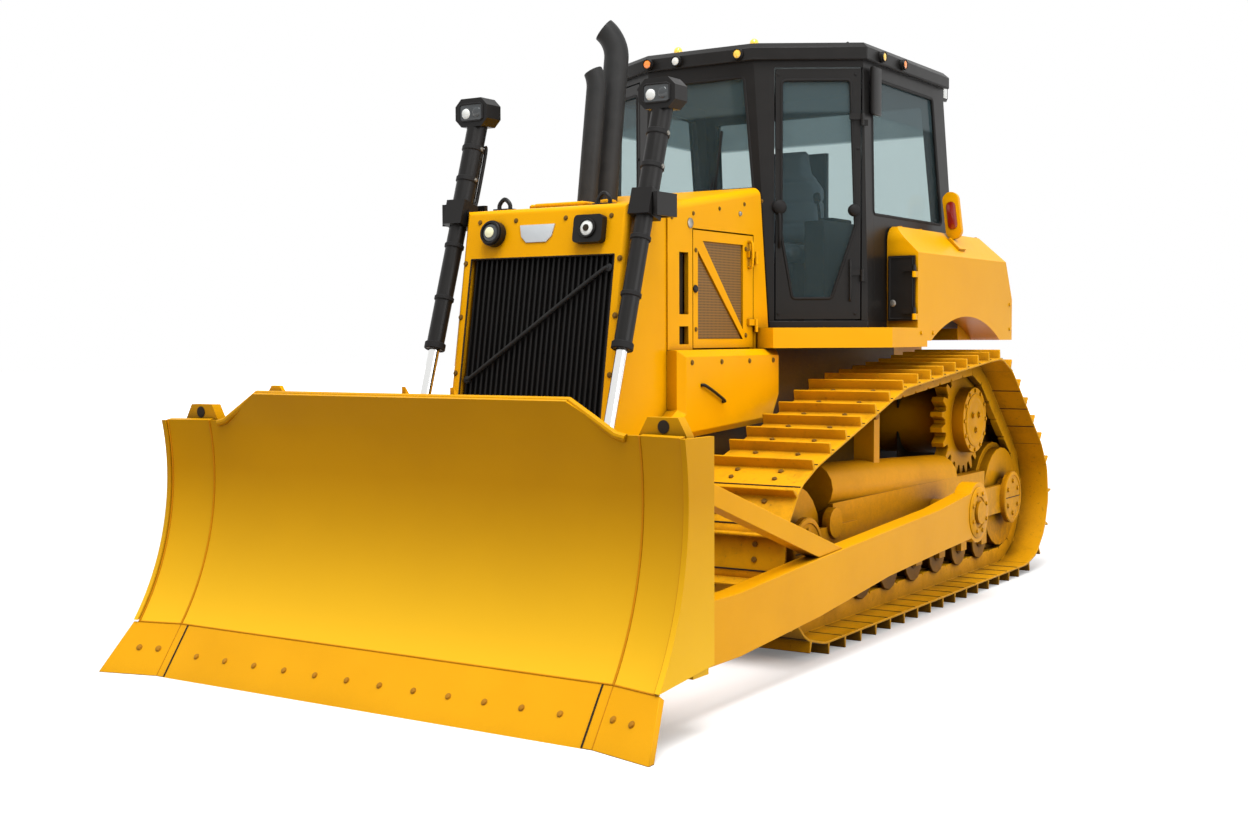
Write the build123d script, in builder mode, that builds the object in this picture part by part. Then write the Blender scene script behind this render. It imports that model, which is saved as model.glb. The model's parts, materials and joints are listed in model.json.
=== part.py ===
"""Track-type tractor with elevated sprockets and a semi-U blade, in millimetres.

+Z is up, -Y is the way it drives and +X is its left side. The origin is on the
ground, under the middle of the machine. Places along Y are set out from the
sprocket axle: "ahead" is towards the blade and "behind" towards the drawbar.
The left side is made first and mirrored.
"""
from build123d import *
from math import acos, asin, atan2, cos, degrees, hypot, pi, radians, sin, sqrt, tan
import os

os.makedirs("parts", exist_ok=True)

# ---------------------------------------------------------------- driving sizes
nose_ahead = 3130.0         # sprocket axle to the nose's front face at its top
nose_to_tips = 1495.0       # that face to the blade's tips
drawbar_reach = 1105.0      # sprocket axle to the end of the drawbar
fit_gap = 0.3               # clearance between fixed pieces where they meet
door_gap = 8.0              # clearance round the doors and covers that open

# Undercarriage
track_x = 935.0             # half of the track gauge
shoe_width = 560.0
shoe_pitch = 192.0          # nearest even division of the loop is used
grouser_height = 54.0
grouser_thickness = 20.0
shoe_plate = 13.0
link_height = 98.0          # rail height of a chain link, centred on its pin
link_thickness = 46.0
link_gap = 96.0             # clear space between the two rails of a chain
link_notch = 16.0           # how far the rails step back between two links
idler_pin_radius = 385.0
nose_to_idler = 630.0
rear_idler_behind = 550.0
sprocket_z = 1030.0
sprocket_pin_radius = 330.0
carrier_ahead = 1470.0
carrier_pin_z = 1222.0
carrier_radius = 88.0
roller_radius = 104.0
roller_flange = 22.0
roller_count = 7
roller_end_reach = 445.0    # idler axle to the nearest roller
tooth_count = 23
tooth_depth = 64.0
hub_cap_radius = 205.0
hub_cap_reach = 120.0
drive_radius = 215.0

# Roller frames
frame_half_width = 130.0
frame_lift = 30.0           # frame's underside above the rollers
frame_top_z = 790.0
tube_radius = 130.0
tube_front_z = 772.0
tube_rear_z = 700.0
tube_rear_ahead = 330.0
fork_gap = 124.0            # cheeks beside an idler, from its middle plane
fork_thickness = 28.0
fork_half_height = 90.0
idler_cap_radius = 170.0

# Hull, nose and hood
hull_half_width = 455.0
hull_bottom_z = 395.0
hull_top_z = 1160.0
hull_nose_z = 620.0
hull_slope = 320.0
hull_wall = 30.0
hull_behind = 640.0
nose_half_width = 492.0
nose_lean = 9.4             # degrees that the grille leans
nose_top_z = 2195.0
nose_bottom_z = 1010.0
nose_depth = 330.0
nose_round = 36.0
grille_half_width = 430.0
grille_top_z = 1950.0
grille_bottom_z = 1075.0
grille_inset = 26.0
grille_bar = 10.0
grille_bar_count = 27
hood_half_width = 500.0
hood_rear_ahead = 1830.0
hood_front_top_z = 2215.0
hood_rear_top_z = 2365.0
hood_sheet = 24.0
hood_round = 45.0
side_panel_top_z = 1492.0
side_panel_bottom_z = 1035.0
side_panel_bulge = 130.0    # beyond the hull's side
panel_front_gap = 60.0      # from the nose's face to the lower front corner
panel_toe = 160.0           # height of the front corner
panel_heel = 200.0          # height of the rear corner
panel_sweep = 90.0          # length and rise of the lower rear corner
panel_rise = 60.0
panel_rear_gap = 20.0       # ahead of the hood's rear foot
panel_round = 34.0
engine_door_from = 0.248    # shares of the hood's length, from its front
engine_door_to = 0.923
engine_door_top_z = 2105.0
screen_front_margin = 55.0   # of the perforated screens in the engine doors
screen_rear_margin = 120.0
screen_low_margin = 45.0
screen_top_margin = 60.0
stay = 50.0                 # diagonal stay between the screens
engine_half_width = 280.0
engine_top_z = 1800.0
stack_x = -120.0
exhaust_place = 0.392       # shares of the hood's length, from its front
exhaust_radius = 66.0
exhaust_length = 780.0
exhaust_bend = 55.0         # degrees that the tip turns over
intake_place = 0.216
intake_radius = 52.0
intake_length = 620.0
intake_bend = 30.0
stack_wall = 5.0
tip_bend_radius = 190.0
tip_heading = 215.0         # where the tips point, from +X

# Cab
platform_bottom_z = 1495.0
platform_thickness = 110.0
roof_top_z = 3190.0
roof_thickness = 95.0
cab_wall = 55.0
cab_floor_thickness = 40.0
door_facet_angle = 32.0     # between the door's facet and the X axis
cab_front_half = 420.0
cab_side_half = 890.0
cab_corner_ahead = 1270.0
cab_behind = 130.0
roof_front_half = 345.0
roof_side_half = 862.0
roof_corner_ahead = 1290.0
roof_rear_ahead = 90.0
roof_overhang = 32.0
front_sill = 0.29           # shares of the cab's height
side_sill = 0.43
window_head = 85.0          # window heads below the roof
cab_post = 62.0
window_radius = 30.0
glass_thickness = 8.0
glass_gap = 0.5
glass_setback = 14.0
door_rail = 62.0
door_thickness = 42.0
seat_ahead = 620.0

# Platforms, fenders and tank
fender_outer = 1080.0
fender_front_ahead = 1010.0
fender_behind = 610.0
fender_top_z = 2190.0
fender_bottom_z = 1530.0
shoulder_width = 155.0      # slope along the fenders' outer top edge
shoulder_drop = 157.0
arch_ahead = 215.0
arch_half = 590.0
arch_rise = 145.0
platform_corner_ahead = 1375.0
platform_front_ahead = 1878.0
platform_front_half = 605.0
tank_top_z = 2120.0
locker_wall = 30.0
locker_depth = 520.0
cover_thickness = 12.0

# Blade and its arms
arm_pivot_ahead = 720.0
arm_pivot_z = 535.0
arm_thickness = 100.0
arm_track_gap = 25.0
arm_end_radius = 175.0
arm_front_z = 340.0
trunnion_radius = 66.0
trunnion_clearance = 4.0
brace_rear = 1500.0         # behind the arms' front ends
brace_foot = 260.0
brace_front_z = 990.0
brace_half = 45.0
brace_thickness = 76.0
blade_overhang = 100.0      # end plates beyond the arms
blade_depth = 575.0         # tips back to the push arms' faces
blade_top_z = 1170.0
hump_top_z = 1300.0
hump_half_top = 885.0
hump_half_base = 1100.0
seam_z = 220.0              # joint between the cutting edge and the moldboard
edge_angle = 55.0           # slope of the cutting edge from the ground
moldboard_top_angle = 102.2
moldboard_plate = 28.0
wing_width = 235.0
wing_angle = 15.0
edge_thickness = 30.0
bit_inset = 48.0            # end bits' inner ends, inside the wings' folds
tip_flare = 54.0            # end bits beyond the end plates, at the ground
end_plate = 24.0
beam_low_z = 225.0
beam_mid_z = 470.0
beam_high_z = 900.0
beam_top_z = 1080.0
rib_thickness = 22.0
lift_lug_radius = 74.0
lift_lug_thickness = 22.0

# Lift cylinders
cylinder_x = 560.0
nose_to_yoke = 37.0
yoke_z = 2182.0
eye_behind_blade = 457.0
eye_z = 610.0
eye_half_width = 40.0
eye_radius = 62.0
eye_clearance = 12.0
lift_pin_radius = 26.0
barrel_above_yoke = 500.0
barrel_below_yoke = 715.0
barrel_radius = 52.0
gland_radius = 44.0
rod_radius = 27.0
rod_length = 1320.0
rod_clearance = 3.0
collar_half = 58.0
lamp_width = 205.0          # lamps on top of the lift cylinders
lamp_depth = 150.0
lamp_height = 145.0
lamp_corner = 38.0
lamp_chamfer = 34.0
lamp_offset = 60.0

# Hinges of the doors and covers
knuckle_radius = 11.0
knuckle_length = 34.0
knuckle_gap = 1.0
leaf_length = 72.0
leaf_thickness = 8.0
leaf_set_back = 18.0        # from the pivot line, against the face
leaf_rise = 16.0            # of the leaf's outer layer, which reaches the knuckle
post_leaf = (5.0, 30.0)     # limits from the pivot line
post_leaf_rise = 12.0
hinge_out = 18.0            # pivot line outside the face

# ---------------------------------------------------------------- stations
blade_reach = nose_ahead + nose_to_tips
sprocket_y = (blade_reach - drawbar_reach) / 2
shoe_above_pin = link_height / 2
plate_top = shoe_above_pin + shoe_plate
tip_above_pin = plate_top + grouser_height
pin_floor_z = tip_above_pin
idler_z = pin_floor_z + idler_pin_radius
rail_floor_z = pin_floor_z + link_height / 2
front_idler_y = sprocket_y - nose_ahead + nose_to_idler
rear_idler_y = sprocket_y + rear_idler_behind
carrier_y = sprocket_y - carrier_ahead
carrier_z = carrier_pin_z - carrier_radius
nose_top_y = sprocket_y - nose_ahead
hull_front_y = nose_top_y - hull_wall * 2
hull_rear_y = sprocket_y + hull_behind
hood_rear_y = sprocket_y - hood_rear_ahead
cab_corner_y = sprocket_y - cab_corner_ahead
cab_rear_y = sprocket_y + cab_behind
fender_front_y = sprocket_y - fender_front_ahead
fender_rear_y = sprocket_y + fender_behind
platform_top_z = platform_bottom_z + platform_thickness
floor_z = platform_top_z + fit_gap
roof_bottom_z = roof_top_z - roof_thickness
wall_height = roof_bottom_z - floor_z
blade_tip_y = sprocket_y - blade_reach
blade_back_y = blade_tip_y + blade_depth
arm_inner_x = track_x + shoe_width / 2 + arm_track_gap
arm_outer_x = arm_inner_x + arm_thickness
arm_pivot_y = sprocket_y - arm_pivot_ahead
blade_half_width = arm_outer_x + blade_overhang
tip_half_width = blade_half_width + end_plate + tip_flare


def write(part, name):
    """Label a finished part and write it to its own file."""
    part.label = name
    export_step(part, f"parts/{name}.step")


def beside(side, near, far):
    """Return low and high X limits on one side of the middle plane."""
    return tuple(sorted((side * near, side * far)))


def span(xs, ys, zs, mode=Mode.ADD):
    """Add a box given by its low and high limits along each axis."""
    middle = tuple((low + high) / 2 for low, high in (xs, ys, zs))
    with Locations(middle):
        Box(xs[1] - xs[0], ys[1] - ys[0], zs[1] - zs[0], mode=mode)


def side_plane(x):
    """Return a plane facing +X at x, whose sketch axes are Y and Z."""
    return Plane.YZ.offset(x)


def x_cylinder(radius, xs, y, z, mode=Mode.ADD):
    """Add a cylinder that lies along X."""
    with Locations(Location(((xs[0] + xs[1]) / 2, y, z), (0, 90, 0))):
        Cylinder(radius, xs[1] - xs[0], mode=mode)


def x_wheel(radius, flats, xs, y, z):
    """Add a wheel along X whose rim is a row of flats."""
    with BuildSketch(side_plane(xs[0])) as rim:
        with Locations((y, z)):
            RegularPolygon(radius, flats)
    extrude(rim.sketch, amount=xs[1] - xs[0])


def closed_face(points, mode=Mode.ADD):
    """Add the face inside a closed outline to the sketch being drawn."""
    with BuildLine() as edge:
        Polyline(*points, close=True)
    make_face(edge.edges(), mode=mode)


def outline_of(points, plane, radius=0.0):
    """Return a closed outline as a sketch, with its corners rounded if asked."""
    with BuildSketch(plane) as outline:
        closed_face(points)
        if radius:
            fillet(outline.vertices(), radius)
    return outline.sketch


def prism_x(points, xs, mode=Mode.ADD):
    """Add an outline in Y and Z, extruded between two X limits."""
    extrude(outline_of(points, side_plane(xs[0])), amount=xs[1] - xs[0], mode=mode)


def prism_z(points, zs, mode=Mode.ADD):
    """Add an outline in X and Y, extruded between two heights."""
    extrude(outline_of(points, Plane.XY.offset(zs[0])), amount=zs[1] - zs[0], mode=mode)


def mirrored(builder):
    """Return a finished part's mirror image across the middle plane."""
    return mirror(builder.part, about=Plane.YZ, mode=Mode.PRIVATE)


# ---------------------------------------------------------------- track loops
# Circles that the chain's pin line runs round, in the order it passes them,
# as (y, z, radius). The loop keeps them on its left.
guide_circles = [
    (front_idler_y, idler_z, idler_pin_radius),
    (rear_idler_y, idler_z, idler_pin_radius),
    (sprocket_y, sprocket_z, sprocket_pin_radius),
    (carrier_y, carrier_z, carrier_radius),
]


def loop_segments(circles):
    """Return the straight runs and arcs of the belt round the circles."""
    tangents = []
    for index, (y_a, z_a, r_a) in enumerate(circles):
        y_b, z_b, r_b = circles[(index + 1) % len(circles)]
        distance = hypot(y_b - y_a, z_b - z_a)
        heading = atan2(z_b - z_a, y_b - y_a) - asin((r_b - r_a) / distance)
        normal = heading - pi / 2
        start = (y_a + r_a * cos(normal), z_a + r_a * sin(normal))
        end = (y_b + r_b * cos(normal), z_b + r_b * sin(normal))
        tangents.append((start, end, normal))
    segments = []
    for index, (start, end, normal) in enumerate(tangents):
        y_b, z_b, r_b = circles[(index + 1) % len(circles)]
        turn = (tangents[(index + 1) % len(circles)][2] - normal) % (2 * pi)
        segments.append(("run", start, end, hypot(end[0] - start[0], end[1] - start[1])))
        segments.append(("arc", (y_b, z_b, r_b), (normal, turn), r_b * turn))
    return segments


def loop_point(segments, travel):
    """Return the place on the pin line after a distance along it."""
    for kind, first, second, length in segments:
        if travel > length:
            travel -= length
            continue
        if kind == "run":
            share = travel / length
            return (first[0] + share * (second[0] - first[0]), first[1] + share * (second[1] - first[1]))
        angle = second[0] + travel / first[2]
        return first[0] + first[2] * cos(angle), first[1] + first[2] * sin(angle)
    return segments[0][1]


track_segments = loop_segments(guide_circles)
loop_length = sum(segment[3] for segment in track_segments)
shoe_count = round(loop_length / shoe_pitch)
pins = [loop_point(track_segments, loop_length * index / shoe_count) for index in range(shoe_count)]


def along_shoes(stations):
    """Follow the pins and place (share of pitch, height outward) points on each shoe."""
    points = []
    for index, pin in enumerate(pins):
        follower = pins[(index + 1) % shoe_count]
        pitch = hypot(follower[0] - pin[0], follower[1] - pin[1])
        run = ((follower[0] - pin[0]) / pitch, (follower[1] - pin[1]) / pitch)
        outward = (run[1], -run[0])
        for share, height in stations:
            points.append((pin[0] + run[0] * share * pitch + outward[0] * height,
                           pin[1] + run[1] * share * pitch + outward[1] * height))
    return points


grouser_half = grouser_thickness / 2 / shoe_pitch
shoe_outline = along_shoes([
    (0.06, plate_top),
    (0.20 - grouser_half, plate_top),
    (0.20 - grouser_half * 0.6, tip_above_pin),
    (0.20 + grouser_half * 0.6, tip_above_pin),
    (0.20 + grouser_half, plate_top),
    (0.94, plate_top),
])
shoe_underside = along_shoes([(0.10, shoe_above_pin), (0.90, shoe_above_pin)])
rail_outside = along_shoes([(0.5, shoe_above_pin + shoe_plate / 2)])
rail_inside = along_shoes([
    (0.08, -link_height / 2),
    (0.92, -link_height / 2),
    (1.00, -link_height / 2 + link_notch),
])

with BuildPart() as track_left:
    with BuildSketch(side_plane(track_x - shoe_width / 2)):
        closed_face(shoe_outline)
        closed_face(shoe_underside, Mode.SUBTRACT)
    extrude(amount=shoe_width)
    for side in (-1, 1):
        rail_middle = track_x + side * (link_gap + link_thickness) / 2
        with BuildSketch(side_plane(rail_middle - link_thickness / 2)):
            closed_face(rail_outside)
            closed_face(rail_inside, Mode.SUBTRACT)
        extrude(amount=link_thickness)

with BuildPart() as track_right:
    add(mirrored(track_left))

# ---------------------------------------------------------------- rollers and idlers
rail_outer = link_gap / 2 + link_thickness
tread_margin = 5.0
tread_half = rail_outer + tread_margin
rib_half = link_gap / 2 - 8.0
tread_clearance = 1.0
tread_radius = sqrt(idler_pin_radius ** 2 - (shoe_pitch / 2) ** 2) - link_height / 2 - tread_clearance
rib_height = 34.0
idler_radius = tread_radius + rib_height
idler_flats = 24
roller_flats = 12
cap_flats = 24
pipe_flats = 16
hub_radius = 120.0

with BuildPart() as idlers:
    for idler_y in (front_idler_y, rear_idler_y):
        for side in (-1, 1):
            middle = side * track_x
            x_wheel(tread_radius, idler_flats, (middle - tread_half, middle + tread_half), idler_y, idler_z)
            x_wheel(idler_radius, idler_flats, (middle - rib_half, middle + rib_half), idler_y, idler_z)
            hub_half = fork_gap - fit_gap
            x_wheel(hub_radius, roller_flats, (middle - hub_half, middle + hub_half), idler_y, idler_z)

roller_from = front_idler_y + roller_end_reach
roller_to = rear_idler_y - roller_end_reach
roller_step = (roller_to - roller_from) / (roller_count - 1)
roller_places = [roller_from + roller_step * index for index in range(roller_count)]
roller_z = rail_floor_z + roller_radius + tread_clearance
flange_width = 16.0

with BuildPart() as track_rollers:
    for side in (-1, 1):
        middle = side * track_x
        for roller_y in roller_places:
            x_wheel(roller_radius, roller_flats, (middle - tread_half, middle + tread_half), roller_y,
                    roller_z)
            flange = beside(side, track_x + tread_half, track_x + tread_half + flange_width)
            x_wheel(roller_radius + roller_flange, roller_flats, flange, roller_y, roller_z)
        x_wheel(carrier_radius - link_height / 2 - tread_margin, roller_flats,
                (middle - tread_half, middle + tread_half), carrier_y, carrier_z)

tooth_root = sprocket_pin_radius - 0.6 * tooth_depth
tooth_tip = sprocket_pin_radius + 0.4 * tooth_depth


def toothed_outline():
    """Return the sprocket's outline: each tooth's root, flanks and tip in turn."""
    points = []
    step = 2 * pi / tooth_count
    for tooth in range(tooth_count):
        for radius, share in ((tooth_root, -0.36), (tooth_tip, -0.15), (tooth_tip, 0.15), (tooth_root, 0.36)):
            angle = (tooth + share) * step
            points.append((sprocket_y + radius * cos(angle), sprocket_z + radius * sin(angle)))
    return points


with BuildPart() as sprockets:
    for side in (-1, 1):
        middle = side * track_x
        prism_x(toothed_outline(), (middle - rib_half, middle + rib_half))
        x_wheel(hub_cap_radius, cap_flats, beside(side, track_x, track_x + hub_cap_reach), sprocket_y,
                sprocket_z)

with BuildPart() as final_drives:
    for side in (-1, 1):
        drive = beside(side, hull_half_width + fit_gap, track_x - rib_half - fit_gap)
        x_wheel(drive_radius, cap_flats, drive, sprocket_y, sprocket_z)

# ---------------------------------------------------------------- roller frames
wheel_room = 40.0
frame_front_y = front_idler_y + idler_radius + wheel_room
frame_rear_y = rear_idler_y - idler_radius - wheel_room
frame_bottom_z = rail_floor_z + 2 * roller_radius + frame_lift
bracket_half = 46.0
bracket_from = tread_half + flange_width + fit_gap
bracket_to = bracket_from + 32.0
tube_rear_y = sprocket_y - tube_rear_ahead
tube_front = Vector(track_x, frame_front_y, tube_front_z)
tube_rear = Vector(track_x, tube_rear_y, tube_rear_z)
tooth_room = 18.0
post_width = 120.0
post_depth = 76.0
trunnion_stub = 22.0
adjuster_radius = 78.0
adjuster_lip = 16.0

with BuildPart() as track_frame_left:
    span((track_x - frame_half_width, track_x + frame_half_width), (frame_front_y, frame_rear_y),
         (frame_bottom_z, tube_rear_z))
    with BuildSketch(Plane(origin=tube_front, z_dir=tube_rear - tube_front)) as tube:
        RegularPolygon(tube_radius, pipe_flats)
    extrude(tube.sketch, amount=(tube_rear - tube_front).length)
    for end_y, frame_end in ((front_idler_y, frame_front_y), (rear_idler_y, frame_rear_y)):
        inward = 1 if frame_end > end_y else -1
        reach = sorted((end_y - inward * fork_half_height, frame_end + inward * 2 * tube_radius))
        for side in (-1, 1):
            cheek = sorted((track_x + side * fork_gap, track_x + side * (fork_gap + fork_thickness)))
            span(cheek, reach, (idler_z - fork_half_height, idler_z + fork_half_height))
    # Bearing caps on the outer cheeks
    cap_face = track_x + fork_gap + fork_thickness
    for end_y in (front_idler_y, rear_idler_y):
        x_wheel(idler_cap_radius, cap_flats, (cap_face - 1, cap_face + fork_thickness), end_y, idler_z)
    # Round cover of the track adjuster
    x_wheel(adjuster_radius, pipe_flats, (track_x + fork_gap, cap_face + adjuster_lip),
            frame_front_y - adjuster_radius / 2, idler_z + fork_half_height + adjuster_lip)
    # Recess under the sprocket's teeth
    x_cylinder(tooth_tip + tooth_room, (track_x - rib_half - tooth_room, track_x + rib_half + tooth_room),
               sprocket_y, sprocket_z, mode=Mode.SUBTRACT)
    # Axle brackets of the rollers, under the frame's edges
    for roller_y in roller_places:
        for side in (-1, 1):
            bracket = sorted((track_x + side * bracket_from, track_x + side * bracket_to))
            span(bracket, (roller_y - bracket_half, roller_y + bracket_half),
                 (roller_z - 30, frame_bottom_z + 12))
    # Post of the carrier roller
    span((track_x - post_width / 2, track_x + post_width / 2),
         (carrier_y + carrier_radius / 2, carrier_y + carrier_radius / 2 + post_depth),
         (tube_rear_z, carrier_z + 20))
    # Trunnion that carries the push arm
    x_cylinder(trunnion_radius, (track_x, arm_outer_x + trunnion_stub), arm_pivot_y, arm_pivot_z)

with BuildPart() as track_frame_right:
    add(mirrored(track_frame_left))

# ---------------------------------------------------------------- hull
engine_bay = (nose_top_y + nose_depth + hull_wall * 2, hood_rear_y + hull_wall * 4)
hull_end_slope = 260.0
bar_ahead = 1880.0
bar_half = 70.0
bar_z = 710.0
pivot_shaft_ahead = 320.0
pivot_shaft_z = 620.0

with BuildPart() as main_frame:
    nose_seat_z = nose_bottom_z - fit_gap
    nose_seat_y = nose_top_y + nose_depth + 20
    prism_x([(hull_front_y, hull_nose_z), (hull_front_y + hull_slope, hull_bottom_z),
             (hull_rear_y - hull_end_slope, hull_bottom_z), (hull_rear_y, hull_nose_z),
             (hull_rear_y, hull_top_z),
             (nose_seat_y, hull_top_z), (nose_seat_y, nose_seat_z), (hull_front_y, nose_seat_z)],
            (-hull_half_width, hull_half_width))
    # Housing under the cab, between the platforms
    span((-hull_half_width, hull_half_width), (engine_bay[1], cab_rear_y), (hull_top_z - 1, platform_top_z))
    span((-hull_half_width + hull_wall, hull_half_width - hull_wall), engine_bay,
         (hull_bottom_z + hull_wall, hull_top_z + 1), mode=Mode.SUBTRACT)

with BuildPart() as engine_block:
    span((-engine_half_width, engine_half_width), (engine_bay[0] + hull_wall, engine_bay[1] - 4 * hull_wall),
         (hull_bottom_z + hull_wall + fit_gap, engine_top_z))

with BuildPart() as equalizer_bar:
    for side in (-1, 1):
        link = beside(side, hull_half_width + fit_gap, track_x - frame_half_width - fit_gap)
        bar_y = sprocket_y - bar_ahead
        span(link, (bar_y - bar_half, bar_y + bar_half), (bar_z - bar_half, bar_z + bar_half))
        shaft = beside(side, hull_half_width + fit_gap, track_x - frame_half_width - fit_gap)
        x_wheel(bar_half, pipe_flats, shaft, sprocket_y - pivot_shaft_ahead, pivot_shaft_z)

# ---------------------------------------------------------------- nose, grille and hood
lean = tan(radians(nose_lean))


def nose_front(z):
    """Return the Y of the leaning nose face at a height."""
    return nose_top_y - (nose_top_z - z) * lean


def leaning_slab(xs, near, far, zs, mode=Mode.ADD):
    """Add a slab that lies between two depths behind the leaning nose face."""
    prism_x([(nose_front(zs[0]) + near, zs[0]), (nose_front(zs[0]) + far, zs[0]),
             (nose_front(zs[1]) + far, zs[1]), (nose_front(zs[1]) + near, zs[1])], xs, mode)


with BuildPart() as radiator_guard:
    prism_x([(nose_front(nose_bottom_z), nose_bottom_z), (nose_top_y + nose_depth, nose_bottom_z),
             (nose_top_y + nose_depth, nose_top_z), (nose_front(nose_top_z), nose_top_z)],
            (-nose_half_width, nose_half_width))
    front_edges = radiator_guard.edges().filter_by(
        lambda edge: edge.center().Y < nose_front(nose_top_z) + 1 and edge.center().Z > nose_bottom_z + 1)
    fillet(front_edges, nose_round)
    span((-grille_half_width, grille_half_width), (nose_front(nose_bottom_z) - 10,
                                                   nose_top_y + nose_depth + 1),
         (grille_bottom_z, grille_top_z), mode=Mode.SUBTRACT)

with BuildPart() as grille:
    grille_zs = (grille_bottom_z + fit_gap, grille_top_z - fit_gap)
    grille_half = grille_half_width - fit_gap
    leaning_slab((-grille_half, grille_half), grille_inset + 2 * grille_bar, grille_inset + 6 * grille_bar,
                 grille_zs)
    bar_reach = grille_half_width - 2 * grille_bar
    for index in range(grille_bar_count):
        bar_x = -bar_reach + 2 * bar_reach * index / (grille_bar_count - 1)
        leaning_slab((bar_x - grille_bar / 2, bar_x + grille_bar / 2), grille_inset,
                     grille_inset + 2 * grille_bar + 1, grille_zs)

hood_front_y = nose_top_y + nose_depth + fit_gap
hood_length = hood_rear_y - hood_front_y
door_front_y = hood_front_y + engine_door_from * hood_length
door_rear_y = hood_front_y + engine_door_to * hood_length
door_low_z = side_panel_top_z + door_gap
hood_end_slope = 110.0


def hood_top(y):
    """Return the height of the sloping hood at a place along Y."""
    share = (y - hood_front_y) / (hood_rear_y - hood_front_y)
    return hood_front_top_z + share * (hood_rear_top_z - hood_front_top_z)


hood_slope = atan2(hood_rear_top_z - hood_front_top_z, hood_rear_y - hood_front_y)
exhaust_y = hood_front_y + exhaust_place * hood_length
intake_y = hood_front_y + intake_place * hood_length
stack_clearance = 4.0
slot_width = 90.0
slot_end = 40.0


def stack_plane(y):
    """Return the plane square to a stack where it leaves the sloping hood."""
    return Plane(origin=(stack_x, y, hood_top(y)), x_dir=(1, 0, 0),
                 z_dir=(0, sin(hood_slope), cos(hood_slope)))


def hinge_leaf(plane, height, plates):
    """Add a hinge's knuckle and the plates that tie it to a face.

    The plane lies on the face, its origin beside the pivot line and its Y along
    that line. Each plate is given by its limits across the face and out of it.
    """
    level = Plane(origin=plane.origin + plane.y_dir * height, x_dir=plane.x_dir, z_dir=plane.y_dir * -1)
    with BuildSketch(level) as leaf:
        with Locations((0, hinge_out)):
            Circle(knuckle_radius)
        for (near, far), (low, high) in plates:
            with Locations(((near + far) / 2, (low + high) / 2)):
                Rectangle(far - near, high - low)
    extrude(leaf.sketch, amount=knuckle_length)


door_plates = [((-leaf_length, -leaf_set_back), (-1, leaf_thickness)),
               ((-leaf_length, 0), (leaf_thickness - 1, leaf_rise))]
post_plates = [(post_leaf, (-1, post_leaf_rise))]
knuckle_step = knuckle_length + knuckle_gap
engine_hinge = Plane(origin=(hood_half_width, door_rear_y - door_gap / 2, door_low_z), x_dir=(0, 1, 0),
                     z_dir=(1, 0, 0))
engine_hinge_heights = [share * (engine_door_top_z - door_low_z) for share in (0.25, 0.85)]

with BuildPart() as hood:
    prism_x([(hood_front_y, side_panel_top_z + fit_gap),
             (hood_rear_y + hood_end_slope, side_panel_top_z + fit_gap),
             (hood_rear_y, hood_top(hood_rear_y)), (hood_front_y, hood_top(hood_front_y))],
            (-hood_half_width, hood_half_width))
    hood_edges = hood.edges().filter_by(
        lambda edge: abs(edge.center().X) > hood_half_width - 1 and edge.center().Z > hood_front_top_z - 10
        and abs(edge.tangent_at(0.5).Y) > 0.9)
    fillet(hood_edges, hood_round)
    inner_half = hood_half_width - hood_sheet
    prism_x([(hood_front_y - 1, side_panel_top_z - 1),
             (hood_rear_y + hood_end_slope + 1, side_panel_top_z - 1),
             (hood_rear_y - hood_sheet, hood_top(hood_rear_y) - 2 * hood_sheet),
             (hood_front_y - 1, hood_top(hood_front_y) - 2 * hood_sheet)], (-inner_half, inner_half),
            mode=Mode.SUBTRACT)
    for side in (-1, 1):
        sheet = beside(side, inner_half - 1, hood_half_width + 1)
        span(sheet, (door_front_y, door_rear_y), (side_panel_top_z - 1, engine_door_top_z), mode=Mode.SUBTRACT)
        # Louvre slots ahead of the doors
        for slot_low, slot_high in ((door_low_z + 20, door_low_z + 110), (door_low_z + 170, door_low_z + 480)):
            span(sheet, (door_front_y - slot_end - slot_width, door_front_y - slot_end), (slot_low, slot_high),
                 mode=Mode.SUBTRACT)
    for height in engine_hinge_heights:
        hinge_leaf(engine_hinge, height - knuckle_step, post_plates)
    add(mirrored(hood))
    for y, radius in ((exhaust_y, exhaust_radius), (intake_y, intake_radius)):
        with BuildSketch(stack_plane(y).offset(-5 * hood_sheet)) as hole:
            RegularPolygon(radius + stack_clearance, pipe_flats)
        extrude(hole.sketch, amount=10 * hood_sheet, mode=Mode.SUBTRACT)

with BuildPart() as engine_door_left:
    span((hood_half_width - hood_sheet, hood_half_width), (door_front_y + door_gap, door_rear_y - door_gap),
         (door_low_z, engine_door_top_z - door_gap))
    # Recessed screens either side of a diagonal stay
    frame_left, frame_right = door_front_y + screen_front_margin, door_rear_y - screen_rear_margin
    frame_low, frame_high = door_low_z + screen_low_margin, engine_door_top_z - screen_top_margin
    for screen in ([(frame_left, frame_low), (frame_right, frame_low), (frame_left, frame_high - stay)],
                   [(frame_left + stay, frame_high), (frame_right, frame_low + stay),
                    (frame_right, frame_high)]):
        prism_x(screen, (hood_half_width - hood_sheet / 2, hood_half_width + 1), mode=Mode.SUBTRACT)
    for height in engine_hinge_heights:
        hinge_leaf(engine_hinge, height, door_plates)

with BuildPart() as engine_door_right:
    add(mirrored(engine_door_left))

with BuildPart() as side_panels:
    panel_rear_y = hood_rear_y + hood_end_slope - panel_rear_gap
    for side in (-1, 1):
        face = beside(side, nose_half_width + fit_gap, hull_half_width + side_panel_bulge)
        panel = outline_of([(nose_top_y + panel_front_gap, side_panel_bottom_z),
                            (panel_rear_y - panel_sweep, side_panel_bottom_z + panel_rise),
                            (panel_rear_y, side_panel_bottom_z + panel_heel), (panel_rear_y, side_panel_top_z),
                            (hood_front_y, side_panel_top_z), (hood_front_y, side_panel_bottom_z + panel_toe)],
                           side_plane(face[0]))
        extrude(panel, amount=face[1] - face[0])
    rims = side_panels.edges().filter_by(lambda edge: abs(edge.center().X) > hull_half_width + side_panel_bulge - 1)
    chamfer(rims, panel_round)

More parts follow.
